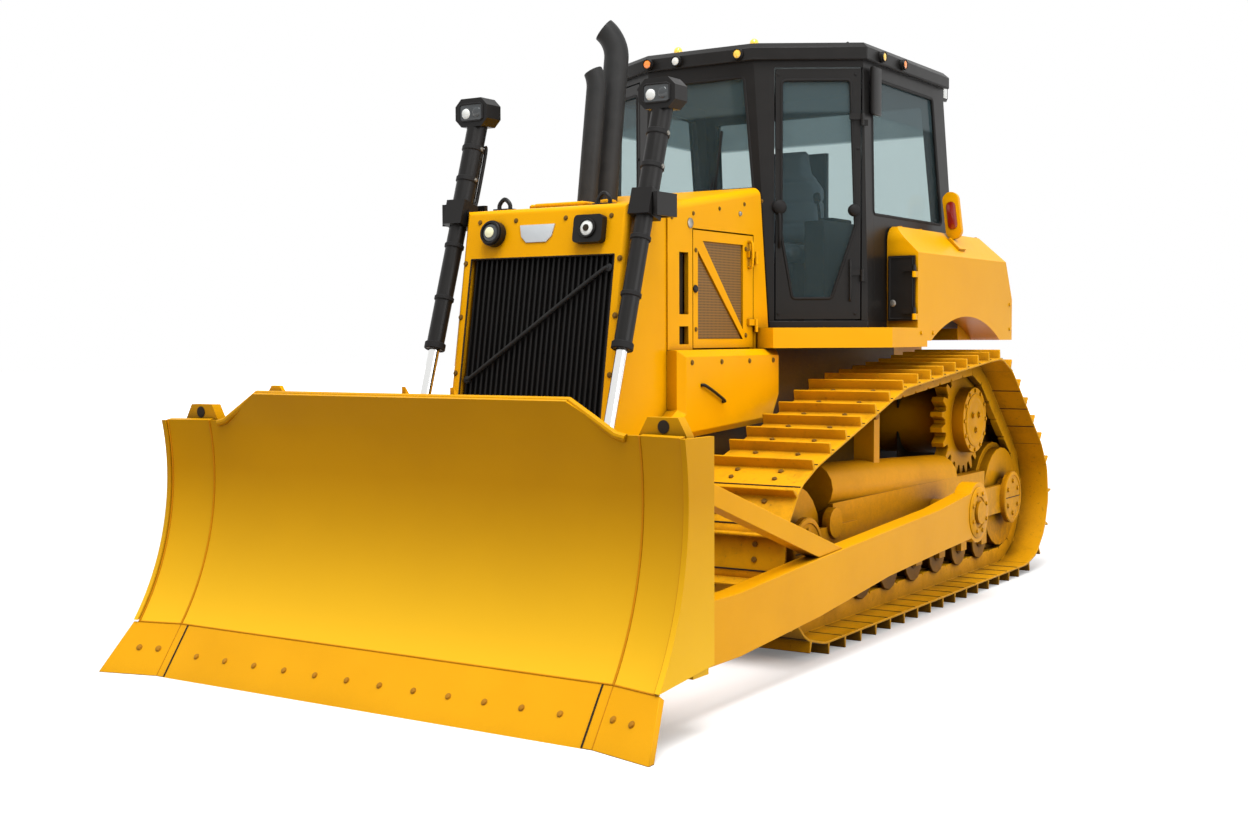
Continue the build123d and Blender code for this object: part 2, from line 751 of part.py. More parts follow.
# ---------------------------------------------------------------- stacks
mouth_depth = 100.0


def stack(y, radius, length, bend):
    """Add a pipe from above the engine through the hood, its open tip bent over."""
    base = stack_plane(y)
    foot = (hood_top(y) - engine_top_z) / cos(hood_slope) - radius * tan(hood_slope) - stack_clearance
    turn = radians(tip_heading)
    tip = Plane(origin=base.origin + base.z_dir * length,
                x_dir=base.x_dir * cos(turn) + base.y_dir * sin(turn),
                z_dir=base.z_dir)
    pivot = Axis(tip.origin + tip.x_dir * tip_bend_radius, tip.y_dir)
    for size, depth, mode in ((radius, foot + length, Mode.ADD),
                              (radius - stack_wall, mouth_depth, Mode.SUBTRACT)):
        with BuildSketch(tip) as section:
            RegularPolygon(size, pipe_flats)
        extrude(section.sketch, amount=-depth, mode=mode)
        revolve(section.sketch, axis=pivot, revolution_arc=bend, mode=mode)


with BuildPart() as stacks:
    stack(exhaust_y, exhaust_radius, exhaust_length, exhaust_bend)
    stack(intake_y, intake_radius, intake_length, intake_bend)

# ---------------------------------------------------------------- cab
facet_slope = tan(radians(door_facet_angle))


def cab_corners(front_half, side_half, corner_y, rear_y):
    """Return the cab's left plan: windscreen corner, door post and rear corner."""
    return [(front_half, corner_y - (side_half - front_half) * facet_slope), (side_half, corner_y),
            (side_half, rear_y)]


def other_side(corner):
    """Return a plan corner's mirror image."""
    return (-corner[0], corner[1])


def wall_plane(low_start, low_end, high_end):
    """Return a wall's plane: origin at the end of its foot, X along it, Y up, facing out."""
    start, end, top = Vector(*low_start, floor_z), Vector(*low_end, floor_z), Vector(*high_end, roof_bottom_z)
    along = (end - start).normalized()
    return Plane(origin=end, x_dir=along, z_dir=along.cross(top - end).normalized())


floor_plan = cab_corners(cab_front_half, cab_side_half, cab_corner_y, cab_rear_y)
top_plan = cab_corners(roof_front_half, roof_side_half, sprocket_y - roof_corner_ahead,
                       sprocket_y - roof_rear_ahead)
front_wall = wall_plane(other_side(floor_plan[0]), floor_plan[0], top_plan[0])
door_wall = wall_plane(floor_plan[0], floor_plan[1], top_plan[1])
side_wall = wall_plane(floor_plan[1], floor_plan[2], top_plan[2])
rear_wall = wall_plane(floor_plan[2], other_side(floor_plan[2]), other_side(top_plan[2]))


def tapered_block(zs, margin=0.0):
    """Return a slice of the cab's block, its leaning walls moved outward by a margin."""
    with BuildPart() as block:
        span((-2 * cab_side_half, 2 * cab_side_half),
             (cab_corner_y - 2 * cab_side_half, cab_rear_y + cab_side_half), zs)
        for wall in (front_wall, door_wall, side_wall, rear_wall):
            split(bisect_by=wall.offset(margin), keep=Keep.BOTTOM)
        add(mirrored(block), mode=Mode.INTERSECT)
    return block.part


def rectangle(x_from, x_to, y_from, y_to):
    """Return the corners of a rectangle in a sketch."""
    return [(x_from, y_from), (x_to, y_from), (x_to, y_to), (x_from, y_to)]


def wall_piece(wall, points, outer, inner, mode=Mode.ADD, radius=0.0):
    """Add or cut a flat outline between two depths, measured outward from a wall's face."""
    extrude(outline_of(points, wall.offset(outer), radius), amount=inner - outer, mode=mode)


# The door in its wall: distances ahead of the post and heights above the floor.
facet_width = (cab_side_half - cab_front_half) / cos(radians(door_facet_angle))
door_rear_edge = -46.0
door_front_edge = -facet_width + 34.0
door_low = cab_floor_thickness + fit_gap + door_gap
door_high = wall_height - 48.0
door_opening = rectangle(door_front_edge - door_gap, door_rear_edge + door_gap, -door_low,
                         door_high + door_gap)
door_window = [
    (door_front_edge + 0.5 * door_rail, 0.35 * wall_height),
    (door_front_edge + 0.5 * door_rail, door_high - door_rail),
    (door_rear_edge - 0.9 * door_rail, door_high - door_rail),
    (door_rear_edge - 0.45 * door_rail, 0.38 * wall_height),
    (door_rear_edge - 2.6 * door_rail, 0.11 * wall_height),
    (door_front_edge + 1.5 * door_rail, 0.11 * wall_height),
]
door_hinge = Plane(origin=door_wall.origin + door_wall.x_dir * (door_rear_edge + door_gap),
                   x_dir=door_wall.x_dir,
                   z_dir=door_wall.z_dir)
door_hinge_heights = [share * wall_height for share in (0.22, 0.80)]

front_sill_v = front_sill * wall_height
side_sill_v = side_sill * wall_height
head_v = wall_height - window_head
side_length = cab_rear_y - cab_corner_y
side_post = 95.0
quarter_low = 260.0         # rear post at the sill and at the window's head
quarter_high = 390.0
top_inset = cab_front_half - roof_front_half
front_window = [(-2 * cab_front_half + cab_post, front_sill_v), (-cab_post, front_sill_v),
                (-top_inset - cab_post, head_v), (-2 * cab_front_half + top_inset + cab_post, head_v)]
side_window = [(side_post - side_length, side_sill_v), (-quarter_low, side_sill_v), (-quarter_high, head_v),
               (side_post - side_length, head_v)]
rear_window = [(2 * cab_post - 2 * cab_side_half, side_sill_v), (-2 * cab_post, side_sill_v),
               (-2.5 * cab_post, head_v), (2.5 * cab_post - 2 * cab_side_half, head_v)]
shell_low_z = floor_z + cab_floor_thickness + fit_gap
cut_out = 60.0
cut_in = -2.0 * cab_wall

with BuildPart() as cab_openings:
    wall_piece(door_wall, door_opening, cut_out, cut_in)
    wall_piece(side_wall, side_window, cut_out, cut_in, radius=window_radius)
    add(mirrored(cab_openings))
    wall_piece(front_wall, front_window, cut_out, cut_in, radius=window_radius)
    wall_piece(rear_wall, rear_window, cut_out, cut_in, radius=window_radius)

with BuildPart() as cab_shell:
    add(tapered_block((shell_low_z, roof_bottom_z)))
    add(tapered_block((shell_low_z - 1, roof_bottom_z + 1), -cab_wall), mode=Mode.SUBTRACT)
    add(cab_openings.part, mode=Mode.SUBTRACT)


def infill_zone(gap):
    """Return the space below the windows and between the posts, made smaller by a gap."""
    front_half = cab_front_half - cab_post - gap
    rear_half = cab_side_half - 2 * cab_post - gap
    front_limit = (floor_plan[0][1] - 2 * cab_wall, floor_plan[0][1] + 2 * cab_wall)
    side_limit = (cab_corner_y + side_post + gap, cab_rear_y - quarter_low - gap)
    side_sill_z = floor_z + side_sill_v - gap
    with BuildPart() as zone:
        span((-front_half, front_half), front_limit, (floor_z, floor_z + front_sill_v - gap))
        span((-cab_side_half, cab_side_half), side_limit, (floor_z, side_sill_z))
        span((-rear_half, rear_half), (side_limit[1] - 1, cab_rear_y), (floor_z, side_sill_z))
    return zone.part


post_zone = infill_zone(0.0)
wall_zone = infill_zone(fit_gap)

with BuildPart() as cab_frame:
    add(cab_shell.part)
    add(post_zone, mode=Mode.SUBTRACT)
    for height in door_hinge_heights:
        hinge_leaf(door_hinge, height - knuckle_step, post_plates)
    add(mirrored(cab_frame))

with BuildPart() as cab_walls:
    add(cab_shell.part)
    add(wall_zone, mode=Mode.INTERSECT)

cab_floor_top_z = floor_z + cab_floor_thickness
with BuildPart() as cab_floor:
    add(tapered_block((floor_z, cab_floor_top_z)))

roof_chamfer = 30.0
with BuildPart() as cab_roof:
    with BuildSketch(Plane.XY.offset(roof_bottom_z + fit_gap)):
        closed_face(top_plan + [other_side(corner) for corner in reversed(top_plan)])
        offset(amount=roof_overhang, kind=Kind.INTERSECTION, mode=Mode.REPLACE)
    extrude(amount=roof_thickness - fit_gap)
    chamfer(cab_roof.faces().sort_by(Axis.Z)[-1].edges(), roof_chamfer)

with BuildPart() as cab_door_left:
    wall_piece(door_wall, rectangle(door_front_edge, door_rear_edge, door_low, door_high), 0, -door_thickness)
    wall_piece(door_wall, door_window, 1, -door_thickness - 1, Mode.SUBTRACT, window_radius)
    for height in door_hinge_heights:
        hinge_leaf(door_hinge, height, door_plates)

with BuildPart() as cab_door_right:
    add(mirrored(cab_door_left))


def pane(wall, points):
    """Add a sheet of glass that fits a rounded opening in a wall."""
    with BuildSketch(wall.offset(-glass_setback)) as glass:
        closed_face(points)
        fillet(glass.vertices(), window_radius)
        offset(amount=-glass_gap, kind=Kind.INTERSECTION, mode=Mode.REPLACE)
    extrude(glass.sketch, amount=-glass_thickness)


with BuildPart() as door_glass_left:
    pane(door_wall, door_window)

with BuildPart() as door_glass_right:
    add(mirrored(door_glass_left))

with BuildPart() as cab_glass:
    pane(side_wall, side_window)
    add(mirrored(cab_glass))
    pane(front_wall, front_window)
    pane(rear_wall, rear_window)

# Seat and controls, whose heights are shares of the cab's height.
seat_y = sprocket_y - seat_ahead
seat_floor_z = cab_floor_top_z + fit_gap
seat_z = floor_z + 0.27 * wall_height
seat_pad_z = floor_z + 0.355 * wall_height
seat_back_z = floor_z + 0.74 * wall_height
backrest_z = floor_z + 0.76 * wall_height
console_z = floor_z + 0.42 * wall_height
seat_front_y = seat_y - 200
backrest_y = seat_y + 205
pedestal_half = 190.0
pedestal_rear_y = seat_y + 160
seat_shell_half = 225.0
shell_rear_y = backrest_y + 35
seat_lip = 20.0
cushion_half = 252.0
cushion_reach = 90.0
backrest_depth = 115.0
dash_half = 280.0
dash_front_y = cab_corner_y - 130
dash_depth = 150.0
armrest_xs = (300.0, 430.0)
armrest_reach = 60.0
armrest_length = 460.0
armrest_rise = 20.0

with BuildPart() as operator_seat:
    span((-pedestal_half, pedestal_half), (seat_front_y, pedestal_rear_y), (seat_floor_z, seat_z))
    span((-seat_shell_half, seat_shell_half), (backrest_y + fit_gap, shell_rear_y),
         (seat_z - seat_lip, seat_back_z))
    span((-pedestal_half, pedestal_half), (pedestal_rear_y - 1, shell_rear_y), (seat_z - 3 * seat_lip, seat_z))

with BuildPart() as seat_cushions:
    span((-cushion_half, cushion_half), (seat_front_y - cushion_reach, backrest_y),
         (seat_z + fit_gap, seat_pad_z))
    span((-cushion_half, cushion_half), (backrest_y - backrest_depth, backrest_y),
         (seat_pad_z + 2, backrest_z))

with BuildPart() as control_console:
    span((-dash_half, dash_half), (dash_front_y, dash_front_y + dash_depth), (seat_floor_z, console_z))
    for side in (-1, 1):
        span(beside(side, *armrest_xs), (seat_front_y - armrest_reach,
                                         seat_front_y - armrest_reach + armrest_length),
             (seat_floor_z, console_z + armrest_rise))

# ---------------------------------------------------------------- platforms, fenders and tank
fender_inner = cab_side_half + fit_gap
arch_middle_y = sprocket_y - arch_ahead
arch_radius = (arch_half ** 2 + arch_rise ** 2) / (2 * arch_rise)
fender_round = 90.0
rear_slope = 206.0
rear_shoulder = 398.0
cover_low_z = platform_top_z + 40
cover_high_z = fender_top_z - shoulder_drop - 18
cover_y = fender_front_y - 6
cover_near = fender_inner + 14
cover_far = fender_outer - 14
cover_hinge_gap = 4.0
platform_rear_y = arch_middle_y - arch_half - 60
hood_side_gap = 10.0
platform_notch_y = hood_rear_y + hood_end_slope + 15
cover_hinge = Plane(origin=(cover_far + cover_hinge_gap, cover_y - cover_thickness, cover_low_z),
                    x_dir=(1, 0, 0),
                    z_dir=(0, -1, 0))
cover_hinge_heights = [share * (cover_high_z - cover_low_z) for share in (0.2, 0.85)]
cover_post_plates = [((1, 9), (-cover_thickness - 7, hinge_out))]

with BuildPart() as fender_left:
    prism_x([(fender_front_y, fender_bottom_z), (fender_rear_y, fender_bottom_z),
             (fender_rear_y, fender_top_z - rear_shoulder), (fender_rear_y - rear_slope, fender_top_z),
             (fender_front_y, fender_top_z)], (fender_inner, fender_outer))
    fillet(fender_left.edges().filter_by(Axis.X).group_by(Axis.Z)[-1].sort_by(Axis.Y)[0], fender_round)
    shoulder = outline_of([(fender_outer - shoulder_width, fender_top_z),
                           (fender_outer, fender_top_z - shoulder_drop),
                           (fender_outer + shoulder_width, fender_top_z - shoulder_drop),
                           (fender_outer + shoulder_width, fender_top_z + shoulder_drop),
                           (fender_outer - shoulder_width, fender_top_z + shoulder_drop)],
                          Plane.XZ.offset(-fender_rear_y - 1))
    extrude(shoulder, amount=fender_rear_y - fender_front_y + 2, mode=Mode.SUBTRACT)
    x_cylinder(arch_radius, (fender_inner - 1, fender_outer + 1), arch_middle_y,
               fender_bottom_z + arch_rise - arch_radius, mode=Mode.SUBTRACT)
    # Locker behind the cover in the front face
    span((fender_inner + locker_wall, fender_outer - locker_wall),
         (fender_front_y - 1, fender_front_y + locker_depth),
         (cover_low_z + locker_wall, cover_high_z - locker_wall), mode=Mode.SUBTRACT)
    prism_z([(hull_half_width + fit_gap, platform_notch_y),
             (hood_half_width + hood_side_gap, platform_notch_y),
             (hood_half_width + hood_side_gap, sprocket_y - platform_front_ahead),
             (platform_front_half, sprocket_y - platform_front_ahead),
             (fender_outer, sprocket_y - platform_corner_ahead), (fender_outer, platform_rear_y),
             (hull_half_width + fit_gap, platform_rear_y)], (platform_bottom_z, platform_top_z))
    for height in cover_hinge_heights:
        hinge_leaf(cover_hinge, height - knuckle_step, cover_post_plates)

with BuildPart() as fender_right:
    add(mirrored(fender_left))

with BuildPart() as access_cover_left:
    span((cover_near, cover_far), (cover_y - cover_thickness, cover_y), (cover_low_z, cover_high_z))
    for height in cover_hinge_heights:
        hinge_leaf(cover_hinge, height, door_plates)

with BuildPart() as access_cover_right:
    add(mirrored(access_cover_left))

tank_front_y = cab_rear_y + fit_gap
tank_shoulder_z = fender_top_z - rear_shoulder
with BuildPart() as fuel_tank:
    span((-hull_half_width, hull_half_width), (tank_front_y, fender_rear_y),
         (hull_top_z + fit_gap, fender_bottom_z))
    prism_x([(tank_front_y, fender_bottom_z), (fender_rear_y, fender_bottom_z),
             (fender_rear_y, tank_shoulder_z),
             (fender_rear_y - rear_slope + 38, tank_top_z), (tank_front_y, tank_top_z)],
            (-cab_side_half, cab_side_half))

drawbar_end_y = sprocket_y + drawbar_reach
drawbar_plate_y = hull_rear_y + 120
drawbar_zs = (500.0, 640.0)
drawbar_half = 60.0
drawbar_foot_half = 170.0
drawbar_foot_zs = (430.0, 720.0)
jaw_depth = 150.0
jaw_half = 30.0
drawbar_pin_radius = 22.0
drawbar_z = sum(drawbar_zs) / 2
with BuildPart() as drawbar:
    span((-drawbar_foot_half, drawbar_foot_half), (hull_rear_y + fit_gap, drawbar_plate_y), drawbar_foot_zs)
    span((-drawbar_half, drawbar_half), (drawbar_plate_y, drawbar_end_y), drawbar_zs)
    span((-drawbar_half - 1, drawbar_half + 1), (drawbar_end_y - jaw_depth, drawbar_end_y + 1),
         (drawbar_z - jaw_half, drawbar_z + jaw_half), mode=Mode.SUBTRACT)
    with Locations((0, drawbar_end_y - 70, drawbar_z)):
        Cylinder(drawbar_pin_radius, 200, mode=Mode.SUBTRACT)

# Tail lamps on the fenders' shoulders, each a tall rounded plate on a foot
tail_lamp_y = fender_front_y + 800
tail_lamp_size = (100.0, 290.0, 34.0)
tail_lamp_lean = 7.0
tail_lamp_rise = 40.0
tail_foot = (96.0, 110.0)
shoulder_angle = atan2(shoulder_drop, shoulder_width)
with BuildPart() as tail_lamps:
    foot = Plane(origin=(fender_outer - shoulder_width / 2, tail_lamp_y, fender_top_z - shoulder_drop / 2),
                 x_dir=(cos(shoulder_angle), 0, -sin(shoulder_angle)),
                 z_dir=(sin(shoulder_angle), 0, cos(shoulder_angle)))
    with BuildSketch(foot.offset(fit_gap)):
        Rectangle(*tail_foot)
    extrude(amount=leaf_rise)
    upright = Plane(origin=foot.origin, x_dir=(cos(radians(tail_lamp_lean)), 0, sin(radians(tail_lamp_lean))),
                    z_dir=(0, -1, 0))
    with BuildSketch(upright.offset(-tail_lamp_size[2] / 2)):
        with Locations((0, tail_lamp_size[1] / 2 + tail_lamp_rise)):
            SlotOverall(tail_lamp_size[1], tail_lamp_size[0], rotation=90)
    extrude(amount=tail_lamp_size[2])
    add(mirrored(tail_lamps))

# Round lamps in the roof's edge, and two lamps that hang behind it
roof_lamp_z = roof_bottom_z + 35
roof_lamp_radius = 32.0
roof_lamp_depth = 16.0
roof_lamp_flats = 20
roof_front_y = top_plan[0][1] - roof_overhang
roof_lamp_xs = (-320.0, -130.0, 270.0)
roof_lamp_ys = (cab_corner_y + 150, cab_corner_y + 450)
rear_lamp_x = 790.0
rear_lamp_size = (120.0, 90.0, 125.0)
rear_lamp_cut = 22.0
rear_lamp_high_z = roof_lamp_z + 20
roof_rear_y = top_plan[2][1] + roof_overhang
with BuildPart() as roof_lamps:
    for lamp_x in roof_lamp_xs:
        with BuildSketch(Plane.XZ.offset(fit_gap - roof_front_y)):
            with Locations((lamp_x, roof_lamp_z)):
                RegularPolygon(roof_lamp_radius, roof_lamp_flats)
        extrude(amount=roof_lamp_depth)
    roof_side_x = roof_side_half + roof_overhang + fit_gap
    for side in (-1, 1):
        for lamp_y in roof_lamp_ys:
            x_wheel(roof_lamp_radius, roof_lamp_flats,
                    beside(side, roof_side_x, roof_side_x + roof_lamp_depth),
                    lamp_y, roof_lamp_z)
        near_y, far_y = roof_rear_y + fit_gap, roof_rear_y + rear_lamp_size[1]
        low_z, high_z = rear_lamp_high_z - rear_lamp_size[2], rear_lamp_high_z
        prism_x([(near_y, low_z), (far_y - rear_lamp_cut, low_z), (far_y, low_z + rear_lamp_cut),
                 (far_y, high_z - rear_lamp_cut), (far_y - rear_lamp_cut, high_z), (near_y, high_z)],
                beside(side, rear_lamp_x - rear_lamp_size[0] / 2, rear_lamp_x + rear_lamp_size[0] / 2))

nose_lamp_x = 289.0
nose_lamp_z = 2070.0
nose_lamp_radius = 64.0
nose_lamp_depth = 40.0
with BuildPart() as work_lamps:
    for side in (-1, 1):
        face = Plane(origin=(side * nose_lamp_x, nose_front(nose_lamp_z), nose_lamp_z), x_dir=(1, 0, 0),
                     z_dir=(0, -cos(radians(nose_lean)), sin(radians(nose_lean))))
        with BuildSketch(face.offset(fit_gap)) as lens:
            if side > 0:
                RectangleRounded(2.6 * nose_lamp_radius, 2.1 * nose_lamp_radius, nose_lamp_radius / 3)
            else:
                Circle(nose_lamp_radius)
        extrude(lens.sketch, amount=nose_lamp_depth)

# ---------------------------------------------------------------- blade
edge_slope = radians(edge_angle)
wing_turn = radians(wing_angle)
wing_fold_x = blade_half_width - wing_width * cos(wing_turn)
edge_half_width = wing_fold_x - bit_inset
edge_front_y = blade_tip_y + (tip_half_width - wing_fold_x) * tan(wing_turn)
seam_y = edge_front_y + seam_z / tan(edge_slope)
arc_radius = (blade_top_z - seam_z) / (cos(edge_slope) - cos(radians(moldboard_top_angle)))
arc_centre_y = seam_y - arc_radius * sin(edge_slope)
arc_centre_z = seam_z + arc_radius * cos(edge_slope)
wing_advance = wing_width * sin(wing_turn)
hump_top_angle = degrees(acos((arc_centre_z - hump_top_z) / arc_radius))
wing_directions = [(side, (side * cos(wing_turn), -sin(wing_turn), 0)) for side in (-1, 1)]


def arc_point(radius, tangent_angle, advance=0.0):
    """Return the point of the moldboard's arc where its slope has an angle."""
    return (arc_centre_y + radius * sin(tangent_angle) - advance, arc_centre_z - radius * cos(tangent_angle))


def moldboard_sketch(x, top_angle):
    """Return the curved plate's section at x."""
    low, high = edge_slope, radians(top_angle)
    middle = (low + high) / 2
    face = [arc_point(arc_radius, angle) for angle in (low, middle, high)]
    rear = [arc_point(arc_radius + moldboard_plate, angle) for angle in (high, middle, low)]
    with BuildSketch(side_plane(x)) as section:
        with BuildLine():
            ThreePointArc(*face)
            Line(face[2], rear[0])
            ThreePointArc(*rear)
            Line(rear[2], face[0])
        make_face()
    return section.sketch


beam_front_y = arc_centre_y + arc_radius
anchor_overlap = 20.0
plate_sink = 4.0            # how far beams and ribs reach into the moldboard
lug_offset = 61.0           # lug plates and ribs, from the cylinder's middle plane

# Beams and ribs behind the moldboard, shaped to its rear.
with BuildPart() as blade_back:
    span((-blade_half_width, blade_half_width), (beam_front_y, blade_back_y), (beam_low_z, beam_mid_z))
    span((-wing_fold_x, wing_fold_x), (beam_front_y, blade_back_y - anchor_overlap * 3),
         (beam_high_z, beam_top_z))
    for side in (-1, 1):
        anchor = beside(side, arm_inner_x - anchor_overlap, arm_outer_x + anchor_overlap)
        span(anchor, (beam_front_y, blade_back_y), (beam_high_z, beam_top_z))
        for rib_x in (side * cylinder_x - lug_offset, side * cylinder_x + lug_offset, side * arm_inner_x):
            span((rib_x - rib_thickness / 2, rib_x + rib_thickness / 2), (beam_front_y, blade_back_y),
                 (beam_mid_z - 1, beam_high_z + 1))
    x_cylinder(arc_radius + moldboard_plate - plate_sink, (-blade_half_width - 1, blade_half_width + 1),
               arc_centre_y, arc_centre_z, mode=Mode.SUBTRACT)

eye_y = blade_back_y + eye_behind_blade
lug_root = 120.0
lug_low_z = 480.0
lug_high_z = 880.0
corner_plate_near = arm_inner_x - 50
corner_plate_far = arm_outer_x + 70
corner_plate_cut = 40.0
corner_plate_z = blade_top_z + 72
corner_plate_y = blade_back_y - 60
corner_plate_thickness = 55.0
end_plate_lip = 12.0
end_plate_low = 45.0
trim_reach = 60.0

with BuildPart() as blade:
    extrude(moldboard_sketch(-wing_fold_x, hump_top_angle), amount=2 * wing_fold_x)
    with BuildSketch(Plane.XZ.offset(-blade_back_y)) as hump_cut:
        for side in (-1, 1):
            closed_face([(side * hump_half_top, hump_top_z + trim_reach), (side * hump_half_top, hump_top_z),
                         (side * hump_half_base, blade_top_z), (side * tip_half_width, blade_top_z),
                         (side * tip_half_width, hump_top_z + trim_reach)])
    extrude(hump_cut.sketch, amount=2 * blade_depth, mode=Mode.SUBTRACT)
    add(blade_back.part)
    for side, outward in wing_directions:
        extrude(moldboard_sketch(side * wing_fold_x, moldboard_top_angle), amount=wing_width, dir=outward)
        # End plate
        low, high = edge_slope, radians(moldboard_top_angle)
        front = [arc_point(arc_radius - end_plate_lip, angle, wing_advance) for angle in (low,
                                                                                          (low + high) / 2,
                                                                                          high)]
        plate_x = beside(side, blade_half_width, blade_half_width + end_plate)[0]
        with BuildSketch(side_plane(plate_x)) as plate:
            with BuildLine():
                ThreePointArc(*front)
                Polyline(front[2], (blade_back_y + 5, front[2][1]), (blade_back_y + 5, seam_z + end_plate_low),
                         front[0])
            make_face()
        extrude(plate.sketch, amount=end_plate)
        # Plate that stands up behind the corner
        with BuildSketch(Plane.XZ.offset(corner_plate_thickness - corner_plate_y)) as corner_plate:
            closed_face([(side * corner_plate_near, beam_high_z + anchor_overlap),
                         (side * corner_plate_near, blade_top_z),
                         (side * (corner_plate_near + corner_plate_cut), corner_plate_z),
                         (side * (corner_plate_far - corner_plate_cut), corner_plate_z),
                         (side * corner_plate_far, blade_top_z),
                         (side * corner_plate_far, beam_high_z + anchor_overlap)])
        extrude(corner_plate.sketch, amount=-corner_plate_thickness)
        # Lift lugs, two plates to each eye
        for lug_x in (side * cylinder_x - lug_offset, side * cylinder_x + lug_offset):
            with BuildSketch(side_plane(lug_x - lift_lug_thickness / 2)) as lug:
                closed_face([(blade_back_y - lug_root, lug_low_z), (eye_y, eye_z - lift_lug_radius),
                             (eye_y, eye_z + lift_lug_radius), (blade_back_y - lug_root, lug_high_z)])
                with Locations((eye_y, eye_z)):
                    Circle(lift_lug_radius)
            extrude(lug.sketch, amount=lift_lug_thickness)
        pin_half = lug_offset + lift_lug_thickness
        x_cylinder(lift_pin_radius, (side * cylinder_x - pin_half, side * cylinder_x + pin_half), eye_y, eye_z)

edge_cos, edge_sin = cos(edge_slope), sin(edge_slope)
edge_profile = [
    (edge_front_y, 0),
    (edge_front_y + edge_thickness / edge_sin, 0),
    (seam_y - fit_gap * edge_cos + edge_thickness * edge_sin,
     seam_z - fit_gap * edge_sin - edge_thickness * edge_cos),
    (seam_y - fit_gap * edge_cos, seam_z - fit_gap * edge_sin),
]

with BuildPart() as cutting_edge:
    prism_x(edge_profile, (-edge_half_width + fit_gap, edge_half_width - fit_gap))

with BuildPart() as end_bits:
    for side, outward in wing_directions:
        prism_x(edge_profile, beside(side, edge_half_width + fit_gap, wing_fold_x))
        extrude(outline_of(edge_profile, side_plane(side * wing_fold_x)),
                amount=(tip_half_width - wing_fold_x) / cos(wing_turn), dir=outward)
        # The outer ends slope in towards the end plates
        trim = outline_of([(side * tip_half_width, 0), (side * (blade_half_width + end_plate), seam_z),
                           (side * (tip_half_width + trim_reach), seam_z),
                           (side * (tip_half_width + trim_reach), 0)],
                          Plane.XZ.offset(-blade_back_y))
        extrude(trim, amount=2 * blade_depth, mode=Mode.SUBTRACT)

# ---------------------------------------------------------------- push arms
arm_front_y = blade_back_y + fit_gap
arm_length = arm_pivot_y - arm_front_y
# Share of the arm's length, then its depth below and its height above the arm's line.
arm_profile = [(0.0, 135, 135), (0.135, 162, 110), (0.37, 157, 115), (0.61, 124, 112), (0.82, 127, 108),
               (1.0, 135, 135)]


def arm_line(share):
    """Return the place of the arm's line at a share of its length."""
    return arm_front_y + share * arm_length, arm_front_z + share * (arm_pivot_z - arm_front_z)


def arm_top(y):
    """Return the height of a push arm's top edge at a place along Y."""
    share = (y - arm_front_y) / arm_length
    for (near, _, rise), (far, _, next_rise) in zip(arm_profile, arm_profile[1:]):
        if share <= far:
            return arm_line(share)[1] + rise + (share - near) / (far - near) * (next_rise - rise)
    return arm_pivot_z + arm_end_radius


arm_lower = [(arm_line(share)[0], arm_line(share)[1] - depth) for share, depth, _ in arm_profile]
arm_upper = [(arm_line(share)[0], arm_line(share)[1] + rise) for share, _, rise in reversed(arm_profile)]
with BuildPart() as push_arms:
    for side in (-1, 1):
        arm_xs = beside(side, arm_inner_x, arm_outer_x)
        prism_x(arm_lower + arm_upper, arm_xs)
        x_wheel(arm_end_radius, cap_flats, arm_xs, arm_pivot_y, arm_pivot_z)
        x_cylinder(trunnion_radius + trunnion_clearance, (arm_xs[0] - 1, arm_xs[1] + 1), arm_pivot_y,
                   arm_pivot_z,
                   mode=Mode.SUBTRACT)

brace_inset = (arm_thickness - brace_thickness) / 2
brace_rear_y = arm_front_y + brace_rear
with BuildPart() as arm_braces:
    for side in (-1, 1):
        prism_x([(brace_rear_y, arm_top(brace_rear_y) + fit_gap),
                 (brace_rear_y - brace_foot, arm_top(brace_rear_y - brace_foot) + fit_gap),
                 (arm_front_y, brace_front_z - brace_half), (arm_front_y, brace_front_z + brace_half)],
                beside(side, arm_inner_x + brace_inset, arm_outer_x - brace_inset))

# ---------------------------------------------------------------- lift cylinders
yoke_y = nose_top_y + nose_to_yoke
yoke_point = Vector(cylinder_x, yoke_y, yoke_z)
eye_point = Vector(cylinder_x, eye_y, eye_z)
lift_direction = (eye_point - yoke_point).normalized()
lift_length = (eye_point - yoke_point).length
barrel_plane = Plane(origin=yoke_point, x_dir=(1, 0, 0), z_dir=lift_direction)
bore_radius = rod_radius + rod_clearance
collar_length = 130.0
collar_bore = 25.0
collar_bore_depth = 22.0
trunnion_pin = 24.0
bracket_thickness = 22.0
bracket_reach = 28.0
bracket_height = 55.0

with BuildPart() as lift_barrel_left:
    with Locations(yoke_point - lift_direction * (barrel_above_yoke + lamp_offset)):
        Box(lamp_width, lamp_depth, lamp_height)
    chamfer(lift_barrel_left.edges().filter_by(Axis.Y), lamp_corner)
    chamfer(lift_barrel_left.faces().sort_by(Axis.Y)[-1].edges(), lamp_chamfer)
    with BuildSketch(barrel_plane.offset(-barrel_above_yoke)) as upper:
        RegularPolygon(barrel_radius, pipe_flats)
    extrude(upper.sketch, amount=barrel_above_yoke)
    with BuildSketch(barrel_plane) as lower:
        RegularPolygon(gland_radius, pipe_flats)
    extrude(lower.sketch, amount=barrel_below_yoke)
    with BuildSketch(barrel_plane.offset(-collar_length / 2)) as collar:
        Rectangle(2 * collar_half, 2 * collar_half)
    extrude(collar.sketch, amount=collar_length)
    with BuildSketch(barrel_plane.offset(20 - barrel_above_yoke)) as bore:
        Circle(bore_radius)
    extrude(bore.sketch, amount=barrel_above_yoke + barrel_below_yoke, mode=Mode.SUBTRACT)
    for end in (-1, 1):
        x_cylinder(collar_bore, beside(end, cylinder_x * end + collar_half - collar_bore_depth,
                                       cylinder_x * end + collar_half + 2), yoke_y, yoke_z, mode=Mode.SUBTRACT)

with BuildPart() as lift_barrel_right:
    add(mirrored(lift_barrel_left))

